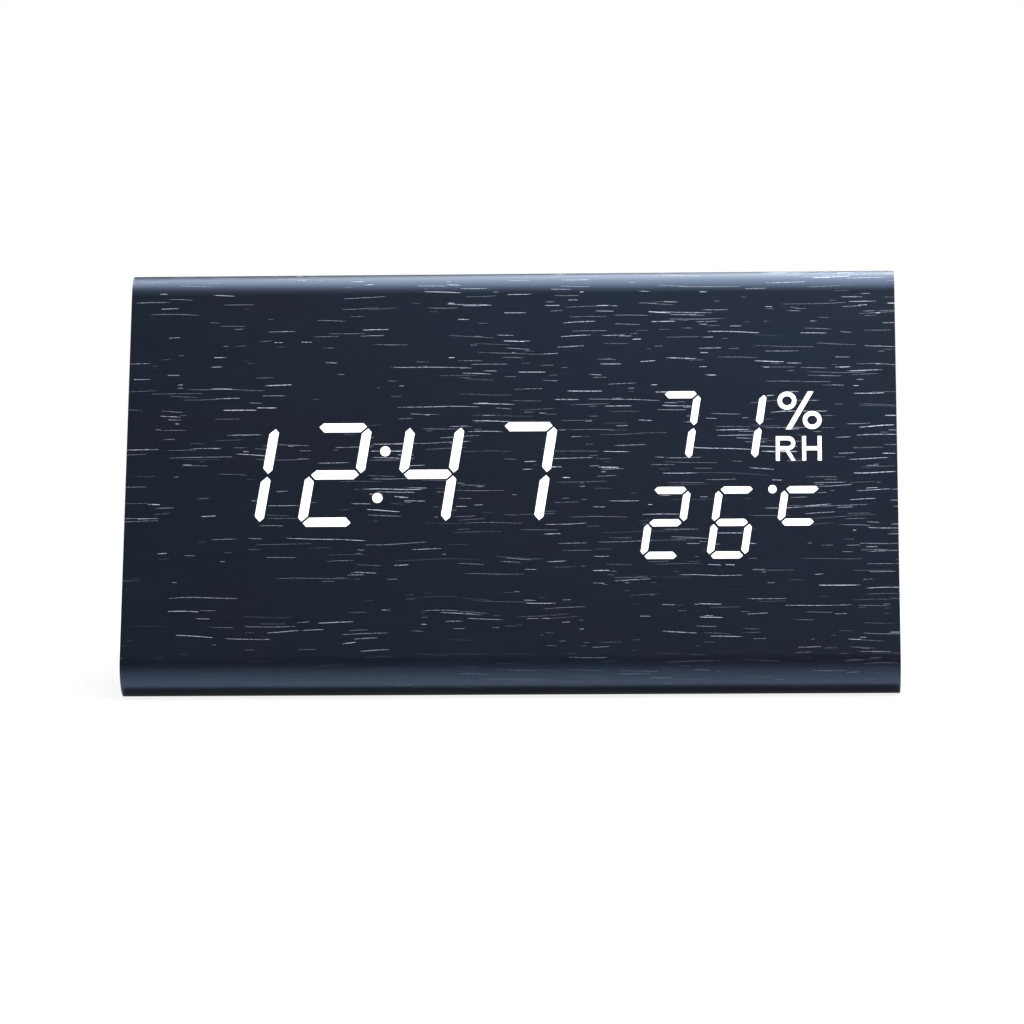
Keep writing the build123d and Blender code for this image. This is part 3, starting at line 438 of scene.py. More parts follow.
# Properties that a user would change
class FilmSettings(bpy.types.PropertyGroup):
    """Wood-grain film of the case."""

    colour: FloatVectorProperty(
        name="Film colour", description="Main colour of the film", subtype="COLOR", min=0, max=1,
        default=(0.0040, 0.0069, 0.0105),
    )
    patch_colour: FloatVectorProperty(
        name="Patch colour", description="Colour of the film's softer patches", subtype="COLOR",
        min=0, max=1, default=(0.0053, 0.0055, 0.0098),
    )
    pore_colour: FloatVectorProperty(
        name="Pore colour", description="Colour of the wood pores", subtype="COLOR", min=0, max=1,
        default=(0.95, 0.93, 1.0),
    )
    sheen_colour: FloatVectorProperty(
        name="Sheen colour", description="Tint of the film's reflections", subtype="COLOR", min=0, max=1,
        default=(0.55, 0.68, 1.0),
    )
    pore_depth: FloatProperty(
        name="Pore depth", description="Depth of the wood pores in millimetres", default=0.05, min=0,
    )
    gloss: FloatProperty(
        name="Roughness", description="Roughness of the film", subtype="FACTOR",
        default=0.38, min=0, max=1,
    )
    pore_share: FloatProperty(
        name="Pore share", description="Share of the pore cells that show a pore", subtype="FACTOR",
        default=0.75, min=0, max=1,
    )


class DisplaySettings(bpy.types.PropertyGroup):
    """Lit figures."""

    colour: FloatVectorProperty(
        name="Light colour", description="Colour of the lit figures", subtype="COLOR", min=0, max=1,
        default=(1.0, 1.0, 1.0),
    )
    strength: FloatProperty(
        name="Light strength", description="Strength of the lit figures, where 1 is white",
        default=1.0, min=0,
    )


class BackSettings(bpy.types.PropertyGroup):
    """Rear cover, buttons and what is behind them."""

    cover_colour: FloatVectorProperty(
        name="Cover colour", description="Colour of the rear cover and the battery door", subtype="COLOR",
        min=0, max=1, default=(0.012, 0.0125, 0.014),
    )
    button_colour: FloatVectorProperty(
        name="Button colour", description="Colour of the buttons", subtype="COLOR", min=0, max=1,
        default=(0.03, 0.031, 0.034),
    )
    print_colour: FloatVectorProperty(
        name="Print colour", description="Colour of the printed words and marks", subtype="COLOR",
        min=0, max=1, default=(0.55, 0.56, 0.58),
    )
    word_height: FloatProperty(
        name="Word height", description="Height of the printed capitals", subtype="DISTANCE",
        unit="LENGTH", default=1.7 * MM, min=0,
    )
    supply_words: StringProperty(
        name="Supply words", description="Words under the supply socket", default="DC 5V",
    )
    jacket_colour: FloatVectorProperty(
        name="Jacket colour", description="Colour of the battery cells' jackets", subtype="COLOR",
        min=0, max=1, default=(0.02, 0.09, 0.06),
    )
    band_colour: FloatVectorProperty(
        name="Band colour", description="Colour of the band on the battery cells", subtype="COLOR",
        min=0, max=1, default=(0.40, 0.41, 0.42),
    )


class StageSettings(bpy.types.PropertyGroup):
    """Camera and light."""

    target: FloatVectorProperty(
        name="Target", description="Point that the camera looks at", subtype="TRANSLATION", unit="LENGTH",
        default=(-0.65 * MM, 0, 32.76 * MM),
    )
    azimuth: FloatProperty(
        name="Azimuth", description="Turn of the camera round the clock", subtype="ANGLE",
        default=radians(2.559),
    )
    elevation: FloatProperty(
        name="Elevation", description="Angle of the camera above the table", subtype="ANGLE",
        default=radians(5.155),
    )
    roll: FloatProperty(
        name="Roll", description="Turn of the camera about its own axis", subtype="ANGLE",
        default=radians(-0.586),
    )
    distance: FloatProperty(
        name="Distance", description="Distance from the camera to its target", subtype="DISTANCE",
        unit="LENGTH", default=962.2 * MM, min=0,
    )
    lens: FloatProperty(
        name="Lens", description="Focal length in millimetres", unit="CAMERA", default=170.45, min=1,
    )
    top_light: FloatProperty(
        name="Top light", description="Power of the soft box above the clock", subtype="POWER",
        default=14.4, min=0,
    )
    rear_light: FloatProperty(
        name="Rear light", description="Power of the low strip behind the clock", subtype="POWER",
        default=3.4, min=0,
    )
    light_colour: FloatVectorProperty(
        name="Light colour", description="Colour of the soft boxes", subtype="COLOR", min=0, max=1,
        default=(0.84, 0.92, 1.0),
    )
    pool: FloatProperty(
        name="Pool", description="Level of the pool of light on the table as the clock mirrors it",
        default=2.4, min=0,
    )
    pool_reach: FloatProperty(
        name="Pool reach", default=26.0, min=0.1,
        description="Distance from the clock over which that pool fades, in millimetres",
    )
    surround: FloatProperty(
        name="Surround", description="Level of the light from all round", default=0.15, min=0,
    )
    floor_colour: FloatVectorProperty(
        name="Floor colour", description="Colour of the table", subtype="COLOR", min=0, max=1,
        default=(0.9, 0.9, 0.9),
    )


# Finishes of this clock
def pores(film, along, across, share, cell, length, width, part, shift):
    """One size of wood pores: a short dash in some cells of a stretched cell pattern.

    They crowd in patches, a little more to the right, and each has its own length, width and slope.
    """
    grid = film.vector(along / cell[0] + shift, across / cell[1] - shift)
    _, random, nearest = film.cells(grid)
    grid_x, grid_y, _ = film.parts(grid)
    near_x, near_y, _ = film.parts(nearest)
    chance_length, chance_slope, chance_width = film.parts(random)
    chance_show, chances = film.node(
        "ShaderNodeTexWhiteNoise", {"noise_dimensions": "2D"}, {"Vector": nearest}, ("Value", "Color")
    )
    chance_bright = film.parts(chances)[2]
    offset_along = (grid_x - near_x) * cell[0]
    offset_across = (grid_y - near_y) * cell[1]
    half_length = length[0] + (length[1] - length[0]) * chance_length
    half_width = width[0] + (width[1] - width[0]) * chance_width
    from_end = abs(offset_along) / half_length
    slope = (chance_slope - 0.5) * PORE_SLOPE
    from_line = abs(offset_across - offset_along * slope)
    tapered = half_width * (1 - PORE_TAPER * from_end ** 2).most(PORE_THINNEST)
    line = film.step(from_line, tapered, tapered * PORE_CORE)
    body = film.step(from_end, 1.0, 1.0 - PORE_TIP)
    crowd_cell = (cell[0] / CROWD_SIZE[0], cell[1] / CROWD_SIZE[1], 1)
    region = film.noise(film.stretched(nearest, crowd_cell), detail=1.0)
    drift = (near_x - shift) * (cell[0] * PORE_DRIFT)
    crowd = film.step(region + drift, *CROWD_LEVELS)
    shown = chance_show.below(share * part * crowd)
    bright = lifted(PORE_DIMMEST, chance_bright ** 2) * lifted(CROWD_DIMMEST, crowd)
    return line * body * shown * bright


def wood_film(name, settings, directions=None):
    """Dark wood-grain film. The grain follows two axes given as directions, or else the grain map."""
    film = Finish(name)
    if directions is None:
        source = film.node("ShaderNodeUVMap", {"uv_map": GRAIN_MAP})
        along, across, _ = film.parts(film.in_millimetres(source))
        height = film.parts(film.place())[2]
        above_edge = lifted(PORE_FADED, film.step(height, *PORE_FADE))
        # Painted light and shade: the pores are drawn darker towards the bottom and lighter towards the
        # top, as the light falls from above
        shown = above_edge * lifted(PORE_PAINTED_SHADE_LEVEL, film.step(height, *PORE_PAINTED_LIGHT_RISE))
    else:
        spread = film.parts(film.place())
        along, across = [spread[axis] for axis in directions]
        shown = 1.0
    wave = film.noise(film.vector(along / GRAIN_WAVE[0], across / GRAIN_WAVE[1])) - 0.5
    bent = across + wave * GRAIN_BEND
    long, mid, short = [pores(film, along, bent, settings.pore_share, **size) for size in PORE_SIZES]
    broken = film.noise(film.vector(along * BREAKS_PER_MM[0], bent * BREAKS_PER_MM[1]), detail=1.0)
    pore = long.most(mid).most(short) * shown
    pore = pore * lifted(BREAK_DIMMEST, film.step(broken, *BREAK_LEVELS))
    patch = film.noise(film.vector(along / PATCH_SIZE[0], bent / PATCH_SIZE[1]))
    fibre = film.noise(film.vector(along / FIBRE_LENGTH, bent * FIBRES_PER_MM), detail=3.0)
    patched = film.step(patch, *PATCH_LEVELS)
    ground = film.mix(patched, rgba(settings.colour), rgba(settings.patch_colour))
    lighter = film.mix(0.5, ground, rgba(settings.colour, FIBRE_LIGHTER))
    ground = film.mix(film.step(fibre, *FIBRE_LEVELS) * FIBRE_SHARE, ground, lighter)
    colour = film.mix(pore, ground, rgba(settings.pore_colour))
    relief = (1 - pore) * (1 - FIBRE_RELIEF) + fibre * FIBRE_RELIEF
    film.surface({
        "Base Color": colour,
        "Roughness": varied(settings.gloss, fibre, FIBRE_DULLING) + pore * PORE_DULLING,
        "Specular IOR Level": 0.5,
        "Specular Tint": rgba(settings.sheen_colour),
        "Normal": film.bump(relief, settings.pore_depth),
    })
    return film


def lit_film(name, settings):
    """Lit part of the film: even white light, a little cooler in soft spots."""
    glow = Finish(name)
    spot = speckle(glow, grain=3.0, detail=1.0)
    cooler = tuple(channel * level for channel, level in zip(settings.colour, (0.975, 0.985, 1.0)))
    glow.surface({
        "Base Color": (0.8, 0.8, 0.8, 1.0),
        "Roughness": 0.45,
        "Emission Color": glow.mix(glow.step(spot, 0.4, 0.7), rgba(settings.colour), rgba(cooler)),
        "Emission Strength": settings.strength,
    })
    return glow


def moulded(name, colour, grain=0.35, depth=0.02, roughness=0.5):
    """Moulded plastic with a fine eroded texture."""
    plastic = Finish(name)
    fine = speckle(plastic, grain)
    broad = speckle(plastic, grain=14.0, detail=2.0)
    cloud = fine * FINE_SHARE + broad * (1 - FINE_SHARE)
    plastic.surface({
        "Base Color": toned(plastic, cloud, colour, 0.82, 1.18),
        "Roughness": varied(roughness, fine, 0.16),
        "Specular IOR Level": 0.35,
        "Normal": plastic.bump(fine, depth),
    })
    return plastic


def plated(name, colour, roughness=0.28, grain=0.25):
    """Plated metal with fine rubbed marks."""
    metal = Finish(name)
    place = metal.place()
    rubbed = metal.noise(metal.stretched(place, (1.0, 0.15, 0.15)), scale=1 / grain, detail=3.0)
    dull = metal.noise(place, scale=0.35)
    metal.surface({
        "Base Color": toned(metal, dull, colour, 0.85, 1.0),
        "Metallic": 1.0,
        "Roughness": varied(varied(roughness, rubbed, 0.2), dull, 0.1),
        "Normal": metal.bump(rubbed, 0.004),
    })
    return metal


def fibreboard(name):
    """Brown pressed board with short fibres."""
    board = Finish(name)
    place = board.place()
    flattened = board.stretched(place, (1.0, 3.0, 2.0))
    fibres = board.noise(flattened, scale=1.2, detail=5.0, roughness=0.65)
    dust = board.noise(place, scale=6.0)
    tone = board.step(fibres * 0.75 + dust * 0.25, 0.32, 0.68)
    board.surface({
        "Base Color": board.mix(tone, (0.16, 0.095, 0.05, 1), (0.36, 0.24, 0.14, 1)),
        "Roughness": varied(0.82, dust, 0.2),
        "Normal": board.bump(fibres, 0.05),
    })
    return board


def printed_sheet(name, settings):
    """Printed sheet of the film's colour with a fine screen."""
    sheet = Finish(name)
    dots, _, _ = sheet.cells(sheet.stretched(sheet.place(), (6.0, 6.0, 6.0)), flat=False)
    tone = sheet.step(dots, 0.15, 0.6)
    sheet.surface({
        "Base Color": sheet.mix(tone, rgba(settings.colour), rgba(settings.colour, 1.5)),
        "Roughness": varied(settings.gloss, tone, 0.1),
        "Specular Tint": rgba(settings.sheen_colour),
    })
    return sheet


def light_chip(name):
    """Light chips: a yellow filling in a white frame."""
    chip = Finish(name)
    fine = speckle(chip, grain=0.4)
    share = chip.step(fine, *NOISE_LEVELS)
    chip.surface({
        "Base Color": chip.mix(share, (0.72, 0.55, 0.12, 1), (0.85, 0.72, 0.25, 1)),
        "Roughness": varied(0.4, fine, 0.2),
    })
    return chip


def circuit_board(name):
    """Green lacquered board with copper runs under the lacquer."""
    board = Finish(name)
    across, _, up = board.parts(board.place())
    lane = board.noise(board.vector(across / LANE_SIZE, up / LANE_SIZE), detail=0.0)
    rows = {0: across * RUNS_PER_MM + lane * RUN_BEND, 1: 0.5}
    run = board.step(board.node("ShaderNodeMath", {"operation": "PINGPONG"}, rows), *RUN_LEVELS)
    mottle = speckle(board, grain=1.5)
    lacquer = board.mix(run, (0.006, 0.055, 0.022, 1), (0.012, 0.10, 0.036, 1))
    board.surface({
        "Base Color": board.mix(mottle * 0.3, lacquer, (0.004, 0.03, 0.014, 1)),
        "Roughness": varied(0.32, mottle, 0.15),
        "Normal": board.bump(run, 0.03),
    })
    return board


def sheathed(name, colour):
    """Soft wire sheath."""
    sheath = Finish(name)
    streak = sheath.noise(sheath.stretched(sheath.place(), (0.3, 2.0, 2.0)), detail=3.0)
    sheath.surface({
        "Base Color": toned(sheath, streak, colour, 0.8, 1.1),
        "Roughness": varied(0.42, streak, 0.2),
        "Normal": sheath.bump(streak, 0.02),
    })
    return sheath


def cell_jacket(name, node, settings):
    """Printed jacket of a battery cell between its bare metal ends, with a plus and a minus.

    The spring at its foot takes more room than the plate at its head, which tells the ends apart.
    """
    jacket = Finish(name)
    low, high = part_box(node)
    along, depth, up = jacket.parts(jacket.place())
    towards_head = (low.x + high.x) / 2 - middle("contact_springs", Vector((1, 0, 0)))
    head_end = (high.x if towards_head > 0 else low.x) / MM
    length = (high.x - low.x) / MM
    from_head = abs(along - head_end)
    out = depth * cos(LEAN) + up * sin(LEAN) - middle(node, REAR_OUT) / MM
    side = up * cos(LEAN) - depth * sin(LEAN) - middle(node, REAR_UP) / MM

    def between(start, end, edge):
        """The stretch between two distances from the head, with soft edges inside it."""
        return jacket.step(from_head, start, start + edge) * jacket.step(from_head, end, end - edge)

    def bar(place, half_along, half_across):
        within = jacket.step(abs(from_head - place), half_along + PRINT_EDGE, half_along)
        return within * jacket.step(abs(side), half_across + PRINT_EDGE, half_across)

    wrapped = between(CELL_CAP, length - CELL_FOOT, PRINT_EDGE)
    band = between(*CELL_BAND, 2 * PRINT_EDGE)
    facing = jacket.step(out, SIGN_FACING, SIGN_FACING + 2 * PRINT_EDGE)
    plus = bar(CELL_SIGN, SIGN_LONG, SIGN_THIN).most(bar(CELL_SIGN, SIGN_THIN, SIGN_LONG))
    marks = plus.most(bar(length - CELL_SIGN, SIGN_THIN, SIGN_LONG)) * facing
    scuff = speckle(jacket, grain=2.2)
    paper = jacket.mix(scuff * 0.25, rgba(settings.jacket_colour), rgba(settings.jacket_colour, 1.6))
    paper = jacket.mix(band.most(marks), paper, rgba(settings.band_colour))
    metal = jacket.mix(scuff, (0.42, 0.42, 0.43, 1), (0.6, 0.6, 0.61, 1))
    jacket.surface({
        "Base Color": jacket.mix(wrapped, metal, paper),
        "Metallic": 1 - wrapped,
        "Roughness": varied(0.3, scuff, 0.16),
        "Normal": jacket.bump(wrapped, 0.06),
    })
    return jacket


# Pieces
def unrolled(y, z):
    """Length round the case section of a point on it, from the middle of the front face upwards."""
    side = 1 if y > 0 else -1
    up = Vector((-side * sin(LEAN), cos(LEAN)))
    out = Vector((side * cos(LEAN), sin(LEAN)))
    base = Vector((side * (DEPTH / 2 - ROUNDING), ROUNDING))
    top = Vector((0, HEIGHT - ROUNDING))
    half = (top - base).length / 2
    point = Vector((y, z))
    along = (point - (base + top) / 2).dot(up)
    if along > half:
        turn = atan2((point - top).dot(up), (point - top).dot(out))
        along = half + ROUNDING * turn
    elif along < -half:
        turn = atan2(-(point - base).dot(up), (point - base).dot(out))
        along = -half - ROUNDING * turn
    round_top = ROUNDING * (pi - 2 * LEAN)
    return 2 * half + round_top - along if side > 0 else along


def film_wrap(finish):
    """The film round the case, with a map that lets the grain run along it and over its roundings.

    The normals of its CAD mesh are left out, so that the roundings shade smoothly.
    """
    shape = merged_copy("veneer_wrap")
    for face in shape.faces:
        face.smooth = True
    grain = shape.loops.layers.uv.new(GRAIN_MAP)
    for face in shape.faces:
        for loop in face.loops:
            place = loop.vert.co
            loop[grain].uv = (place.x, unrolled(place.y, place.z))
    wrap = piece("film_wrap", shape, finish, "case")
    wrap.data.attributes.remove(wrap.data.attributes["custom_normal"])
    wrap.data.set_sharp_from_angle(angle=SHARP_EDGE)
    even = wrap.modifiers.new("even", "WEIGHTED_NORMAL")
    even.mode = "FACE_AREA_WITH_ANGLE"
    even.keep_sharp = True
    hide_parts("veneer_wrap")


class ClockOperator:
    """What the operators of this clock share."""

    bl_options = {"REGISTER", "UNDO"}


class DESKCLOCK_OT_case_film(ClockOperator, bpy.types.Operator):
    """Wraps the case in wood-grain film"""

    bl_idname = "desk_clock.case_film"
    bl_label = "Case film"

    def execute(self, context):
        settings = context.scene.clock_film
        film_wrap(wood_film("wood_film", settings))
        dress(wood_film("wood_film_ends", settings, (1, 2)), "end_film_left", "end_film_right")
        dress(wood_film("wood_film_base", settings, (0, 1)), "base_film")
        return {"FINISHED"}


class DESKCLOCK_OT_boards(ClockOperator, bpy.types.Operator):
    """Finishes the fibreboards under the film"""

    bl_idname = "desk_clock.boards"
    bl_label = "Fibreboards"

    def execute(self, context):
        dress(fibreboard("fibreboard"), *BOARDS)
        return {"FINISHED"}


class DESKCLOCK_OT_figures(ClockOperator, bpy.types.Operator):
    """Lights the figures on the front"""

    bl_idname = "desk_clock.figures"
    bl_label = "Lit figures"

    def execute(self, context):
        dress(lit_film("lit_film", context.scene.clock_display), *LIT_MARKS)
        return {"FINISHED"}


class DESKCLOCK_OT_light_box(ClockOperator, bpy.types.Operator):
    """Finishes the sheet, the light box and the light chips behind the figures"""

    bl_idname = "desk_clock.light_box"
    bl_label = "Light box"

    def execute(self, context):
        dress(printed_sheet("mask_sheet", context.scene.clock_film), "display_mask")
        white = moulded("light_box", (0.75, 0.75, 0.73), grain=0.6, depth=0.01, roughness=0.45)
        dress(white, "segment_reflector")
        dress(light_chip("light_chips"), "segment_leds")
        return {"FINISHED"}


class DESKCLOCK_OT_circuits(ClockOperator, bpy.types.Operator):
    """Finishes the two circuit boards and what is soldered to them"""

    bl_idname = "desk_clock.circuits"
    bl_label = "Circuit boards"

    def execute(self, context):
        dress(circuit_board("circuit_board"), "display_board", "main_board")
        resin = moulded("chip_resin", (0.012, 0.012, 0.013), grain=0.2, depth=0.01, roughness=0.55)
        dress(resin, "display_driver_chip", "controller_chip")
        nylon = moulded("header_nylon", (0.62, 0.60, 0.54), grain=0.5, depth=0.01, roughness=0.45)
        dress(nylon, "display_header", "main_header")
        dress(sheathed("cable_grey", (0.28, 0.28, 0.29)), "ribbon_cable")
        dress(sheathed("lead_red", (0.42, 0.015, 0.012)), "battery_lead_red")
        dress(sheathed("lead_black", (0.012, 0.012, 0.013)), "battery_lead_black")
        cans = plated("part_can", (0.62, 0.62, 0.63), roughness=0.3)
        dress(cans, "clock_crystal", "filter_capacitor", "microphone")
        black = moulded("buzzer_case", (0.014, 0.014, 0.015), grain=0.3, depth=0.015, roughness=0.5)
        dress(black, "buzzer")
        blue = moulded("sensor_case", (0.10, 0.24, 0.42), grain=0.3, depth=0.02, roughness=0.5)
        dress(blue, "humidity_sensor")
        bead = moulded("bead_resin", (0.03, 0.028, 0.026), grain=0.5, depth=0.01, roughness=0.25)
        dress(bead, "thermistor")
        return {"FINISHED"}


class DESKCLOCK_OT_rear_cover(ClockOperator, bpy.types.Operator):
    """Finishes the rear cover and the battery door, and prints the words on the cover"""

    bl_idname = "desk_clock.rear_cover"
    bl_label = "Rear cover"

    def execute(self, context):
        settings = context.scene.clock_back
        plastic = moulded("cover_plastic", settings.cover_colour, grain=0.32, depth=0.035, roughness=0.52)
        dress(plastic, "rear_cover", "battery_door")
        ink = moulded("print_ink", settings.print_colour, grain=0.5, depth=0.004, roughness=0.55)
        face = reach("rear_cover", REAR_OUT)[1]
        rise = WORD_RISE * settings.word_height
        for name in BUTTONS:
            cap = f"button_{name}"
            up = reach(cap, REAR_UP)[1] + rise
            self.print_word(name, name.upper(), middle(cap, REAR_RIGHT), up, face, settings, ink)
        right = middle("usb_shell", REAR_RIGHT)
        low = reach("usb_shell", REAR_UP)[0] - rise
        self.print_word("supply", settings.supply_words, right, low, face, settings, ink)
        self.door_arrow(plastic, face)
        return {"FINISHED"}

    def door_arrow(self, plastic, face):
        """Raised arrow on the battery door that points to its latch."""
        low, high = reach("battery_door", REAR_UP)
        shape = triangle(ARROW_RADIUS)
        raised(shape, ARROW_RISE)
        bevelled(shape, ARROW_EDGE, 2)
        up = low + ARROW_PLACE * (high - low)
        place = on_rear(middle("battery_door", REAR_RIGHT), up, face)
        bmesh.ops.transform(shape, matrix=place, verts=shape.verts)
        piece("door_arrow", shape, plastic, "battery_door")

    def print_word(self, name, words, right, up, face, settings, ink):
        shape = word_shape(words, settings.word_height, INK)
        bmesh.ops.transform(shape, matrix=on_rear(right, up, face), verts=shape.verts)
        piece(f"word_{name}", shape, ink, "case")


class DESKCLOCK_OT_buttons(ClockOperator, bpy.types.Operator):
    """Finishes the buttons and their switches, and paints the sunk marks"""

    bl_idname = "desk_clock.buttons"
    bl_label = "Buttons"

    def execute(self, context):
        settings = context.scene.clock_back
        smooth = moulded("button_plastic", settings.button_colour, grain=0.5, depth=0.006, roughness=0.38)
        dress(smooth, *[f"button_{name}" for name in BUTTONS])
        black = moulded("switch_plastic", (0.015, 0.015, 0.016), grain=0.3, depth=0.01, roughness=0.45)
        dress(black, "switch_bodies", *[f"switch_plunger_{name}" for name in BUTTONS])
        paint = moulded("mark_paint", settings.print_colour, grain=0.4, depth=0.006, roughness=0.5)
        marks = {
            "set": ring(*RING_RADII),
            "up": triangle(MARK_RADIUS),
            "down": triangle(MARK_RADIUS, pi),
        }
        for name, shape in marks.items():
            cap = f"button_{name}"
            raised(shape, INK)
            floor = reach(cap, REAR_OUT)[1] - MARK_DEPTH
            place = on_rear(middle(cap, REAR_RIGHT), middle(cap, REAR_UP), floor)
            bmesh.ops.transform(shape, matrix=place, verts=shape.verts)
            piece(f"mark_{name}", shape, paint, f"{name}_button")
        return {"FINISHED"}


class DESKCLOCK_OT_metal(ClockOperator, bpy.types.Operator):
    """Finishes the screws, the battery contacts and the supply socket"""

    bl_idname = "desk_clock.metal"
    bl_label = "Metal parts"

    def execute(self, context):
        steel = plated("screw_steel", (0.20, 0.20, 0.215), roughness=0.36)
        dress(steel, "rear_cover_screws", "main_board_screws", "display_board_screws")
        nickel = plated("contact_nickel", (0.38, 0.37, 0.35), roughness=0.36)
        dress(nickel, "contact_plates", "contact_springs")
        dress(plated("socket_tin", (0.6, 0.6, 0.61), roughness=0.26), "usb_shell")
        black = moulded("tongue_plastic", (0.016, 0.016, 0.017), grain=0.3, depth=0.008, roughness=0.4)
        dress(black, "usb_tongue")
        self.terminals(plated("terminal_gold", (0.75, 0.52, 0.18), roughness=0.25))
        return {"FINISHED"}

    def terminals(self, gold):
        """Row of contact strips on the tongue of the supply socket."""
        width, rise, length = TERMINAL_SIZE
        right = middle("usb_shell", REAR_RIGHT)
        up = middle("usb_shell", REAR_UP) + TONGUE_HALF + rise / 2
        out = reach("usb_tongue", REAR_OUT)[1] - length / 2 - rise
        shape = bmesh.new()
        for index in range(TERMINALS):
            shift = (index - (TERMINALS - 1) / 2) * TERMINAL_PITCH
            strip = bmesh.ops.create_cube(shape, size=1.0)["verts"]
            bmesh.ops.scale(shape, vec=TERMINAL_SIZE, verts=strip)
            bmesh.ops.transform(shape, matrix=on_rear(right + shift, up, out), verts=strip)
        bevelled(shape, rise / 4, 1)
        piece("supply_terminals", shape, gold, "case")


class DESKCLOCK_OT_cells(ClockOperator, bpy.types.Operator):
    """Prints the jackets of the battery cells"""

    bl_idname = "desk_clock.cells"
    bl_label = "Battery cells"

    def execute(self, context):
        for node in CELLS:
            dress(cell_jacket(f"jacket_{node}", node, context.scene.clock_back), node)
        return {"FINISHED"}


# Stage
def soft_box(name, place, aim, size, power, colour):
    """Rectangular lamp that faces a point and is not seen itself."""
    lamp = bpy.data.lights.new(name, "AREA")
    lamp.shape = "RECTANGLE"
    lamp.size, lamp.size_y = size
    lamp.energy = power
    lamp.color = colour
    holder = bpy.data.objects.new(name, lamp)
    holder.visible_camera = False
    holder.location = place
    holder.rotation_euler = (Vector(aim) - Vector(place)).to_track_quat("-Z", "Y").to_euler()
    bpy.context.scene.collection.objects.link(holder)


def camera(settings):
    data = bpy.data.cameras.new("camera")
    data.lens = settings.lens
    data.sensor_width = SENSOR_WIDTH
    holder = bpy.data.objects.new("camera", data)
    azimuth, elevation = settings.azimuth, settings.elevation
    level = cos(elevation)
    back = Vector((sin(azimuth) * level, -cos(azimuth) * level, sin(elevation)))
    turn = (-back).to_track_quat("-Z", "Y").to_matrix().to_4x4()
    place = Vector(settings.target) + back * settings.distance
    holder.matrix_world = Matrix.Translation(place) @ Matrix.Rotation(settings.roll, 4, back) @ turn
    bpy.context.scene.collection.objects.link(holder)
    bpy.context.scene.camera = holder


def table_finish(settings):
    """Pale table: white to the camera further off, with the clock's soft shadow near it.

    The clock mirrors it as a pool of light that falls off with the distance from the clock.
    """
    table = Finish("table")
    across, along, _ = table.parts(table.place())
    table.surface({
        "Base Color": rgba(settings.floor_colour),
        "Roughness": 0.9,
        "Specular IOR Level": 0.0,
    })

    def glow(colour, strength):
        return table.node("ShaderNodeEmission", None, {"Color": rgba(colour), "Strength": strength})

    def blend(share, first, second):
        return table.node("ShaderNodeMixShader", None, {0: share, 1: first, 2: second})

    seen, glossy = table.node("ShaderNodeLightPath", outputs=("Is Camera Ray", "Is Glossy Ray"))
    far = table.step((across * across + along * along) ** 0.5, *SHADOW_REACH)
    plain = Value(table, table.shader.outputs[0])
    direct = blend(seen * lifted(SHADOW_WHITE, far), plain, glow(WHITE, 1.0))
    past_end = abs(across) - CAD_BOX[1].x / MM - CONTACT
    outside = past_end.most(abs(along) - CAD_BOX[1].y / MM)
    clear = table.step(outside, -(1 + CONTACT_BLUR) * CONTACT, -(1 - CONTACT_BLUR) * CONTACT)
    fall = (1 + outside.most(0) / settings.pool_reach) ** -POOL_FALL
    lit = clear * fall * table.step(past_end, POOL_END, 0.0)
    mirrored = blend(lit, glow(WHITE, settings.surround), glow(settings.light_colour, settings.pool))
    table.end("Material Output", blend(glossy, direct, mirrored))
    return table


def table_top(settings):
    shape = bmesh.new()
    bmesh.ops.create_grid(shape, x_segments=4, y_segments=4, size=TABLE_HALF)
    mesh = bpy.data.meshes.new("table")
    shape.to_mesh(mesh)
    shape.free()
    mesh.materials.append(table_finish(settings).material)
    floor = bpy.data.objects.new("table", mesh)
    bpy.context.scene.collection.objects.link(floor)


def surround(settings):
    """Even light from all round, white where the camera sees it."""
    world = bpy.data.worlds.new("studio")
    world.use_nodes = True
    room = Nodes(world.node_tree)
    seen = room.node("ShaderNodeLightPath", outputs=("Is Camera Ray",))
    cool = {"Color": rgba(SURROUND_TINT), "Strength": settings.surround}
    soft = room.node("ShaderNodeBackground", None, cool)
    white = room.node("ShaderNodeBackground", None, {"Color": rgba(WHITE), "Strength": 1.0})
    room.end("World Output", room.node("ShaderNodeMixShader", None, {0: seen, 1: soft, 2: white}))
    bpy.context.scene.world = world


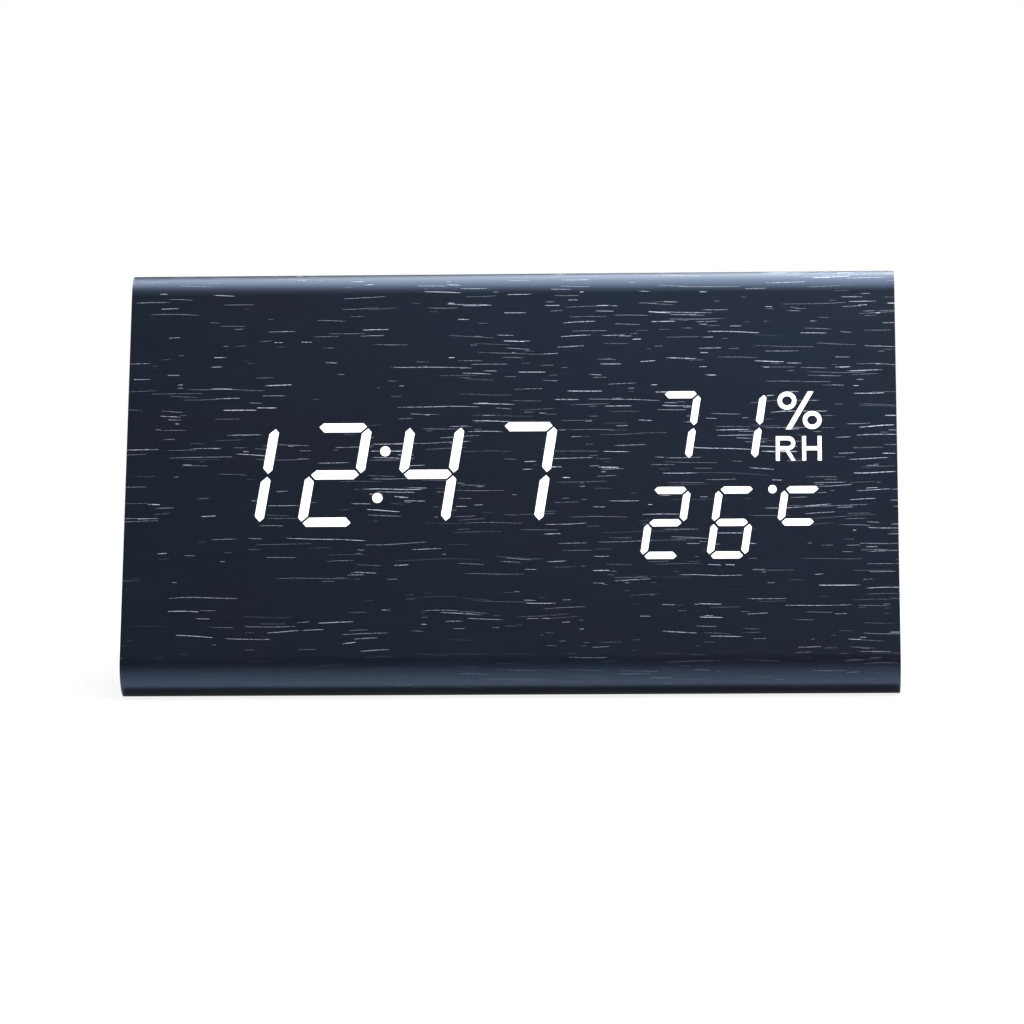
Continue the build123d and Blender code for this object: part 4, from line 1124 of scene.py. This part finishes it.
class DESKCLOCK_OT_stage(ClockOperator, bpy.types.Operator):
    """Sets up the table, the soft light and the camera"""

    bl_idname = "desk_clock.stage"
    bl_label = "Stage"

    def execute(self, context):
        settings = context.scene.clock_stage
        context.scene.view_settings.view_transform = "Standard"
        table_top(settings)
        surround(settings)
        aim = (0, 0, HEIGHT / 2)
        soft_box("top_box", BOX_PLACE, aim, BOX_SIZE, settings.top_light, settings.light_colour)
        soft_box("rear_strip", STRIP_PLACE, aim, STRIP_SIZE, settings.rear_light, settings.light_colour)
        camera(settings)
        return {"FINISHED"}


# Panel and registration
OPERATORS = (
    DESKCLOCK_OT_case_film, DESKCLOCK_OT_boards, DESKCLOCK_OT_figures, DESKCLOCK_OT_light_box,
    DESKCLOCK_OT_circuits, DESKCLOCK_OT_rear_cover, DESKCLOCK_OT_buttons, DESKCLOCK_OT_metal,
    DESKCLOCK_OT_cells, DESKCLOCK_OT_stage,
)
SETTINGS = {
    "clock_film": FilmSettings,
    "clock_display": DisplaySettings,
    "clock_back": BackSettings,
    "clock_stage": StageSettings,
}


class DESKCLOCK_PT_panel(bpy.types.Panel):
    """Lists the settings and the steps of the clock"""

    bl_idname = "DESKCLOCK_PT_panel"
    bl_label = "Desk Clock"
    bl_space_type = "VIEW_3D"
    bl_region_type = "UI"
    bl_category = "Desk Clock"

    def draw(self, context):
        for key, group in SETTINGS.items():
            box = self.layout.box()
            for name in group.__annotations__:
                box.prop(getattr(context.scene, key), name)
        for operator in OPERATORS:
            self.layout.operator(operator.bl_idname)


CLASSES = (*SETTINGS.values(), *OPERATORS, DESKCLOCK_PT_panel)


def register():
    for each in CLASSES:
        bpy.utils.register_class(each)
    for key, group in SETTINGS.items():
        setattr(bpy.types.Scene, key, PointerProperty(type=group))


def unregister():
    for key in SETTINGS:
        delattr(bpy.types.Scene, key)
    for each in reversed(CLASSES):
        bpy.utils.unregister_class(each)


def main():
    register()
    bpy.ops.desk_clock.case_film()
    bpy.ops.desk_clock.boards()
    bpy.ops.desk_clock.figures()
    bpy.ops.desk_clock.light_box()
    bpy.ops.desk_clock.circuits()
    bpy.ops.desk_clock.rear_cover()
    bpy.ops.desk_clock.buttons()
    bpy.ops.desk_clock.metal()
    bpy.ops.desk_clock.cells()
    bpy.ops.desk_clock.stage()


if __name__ == "__main__":
    main()
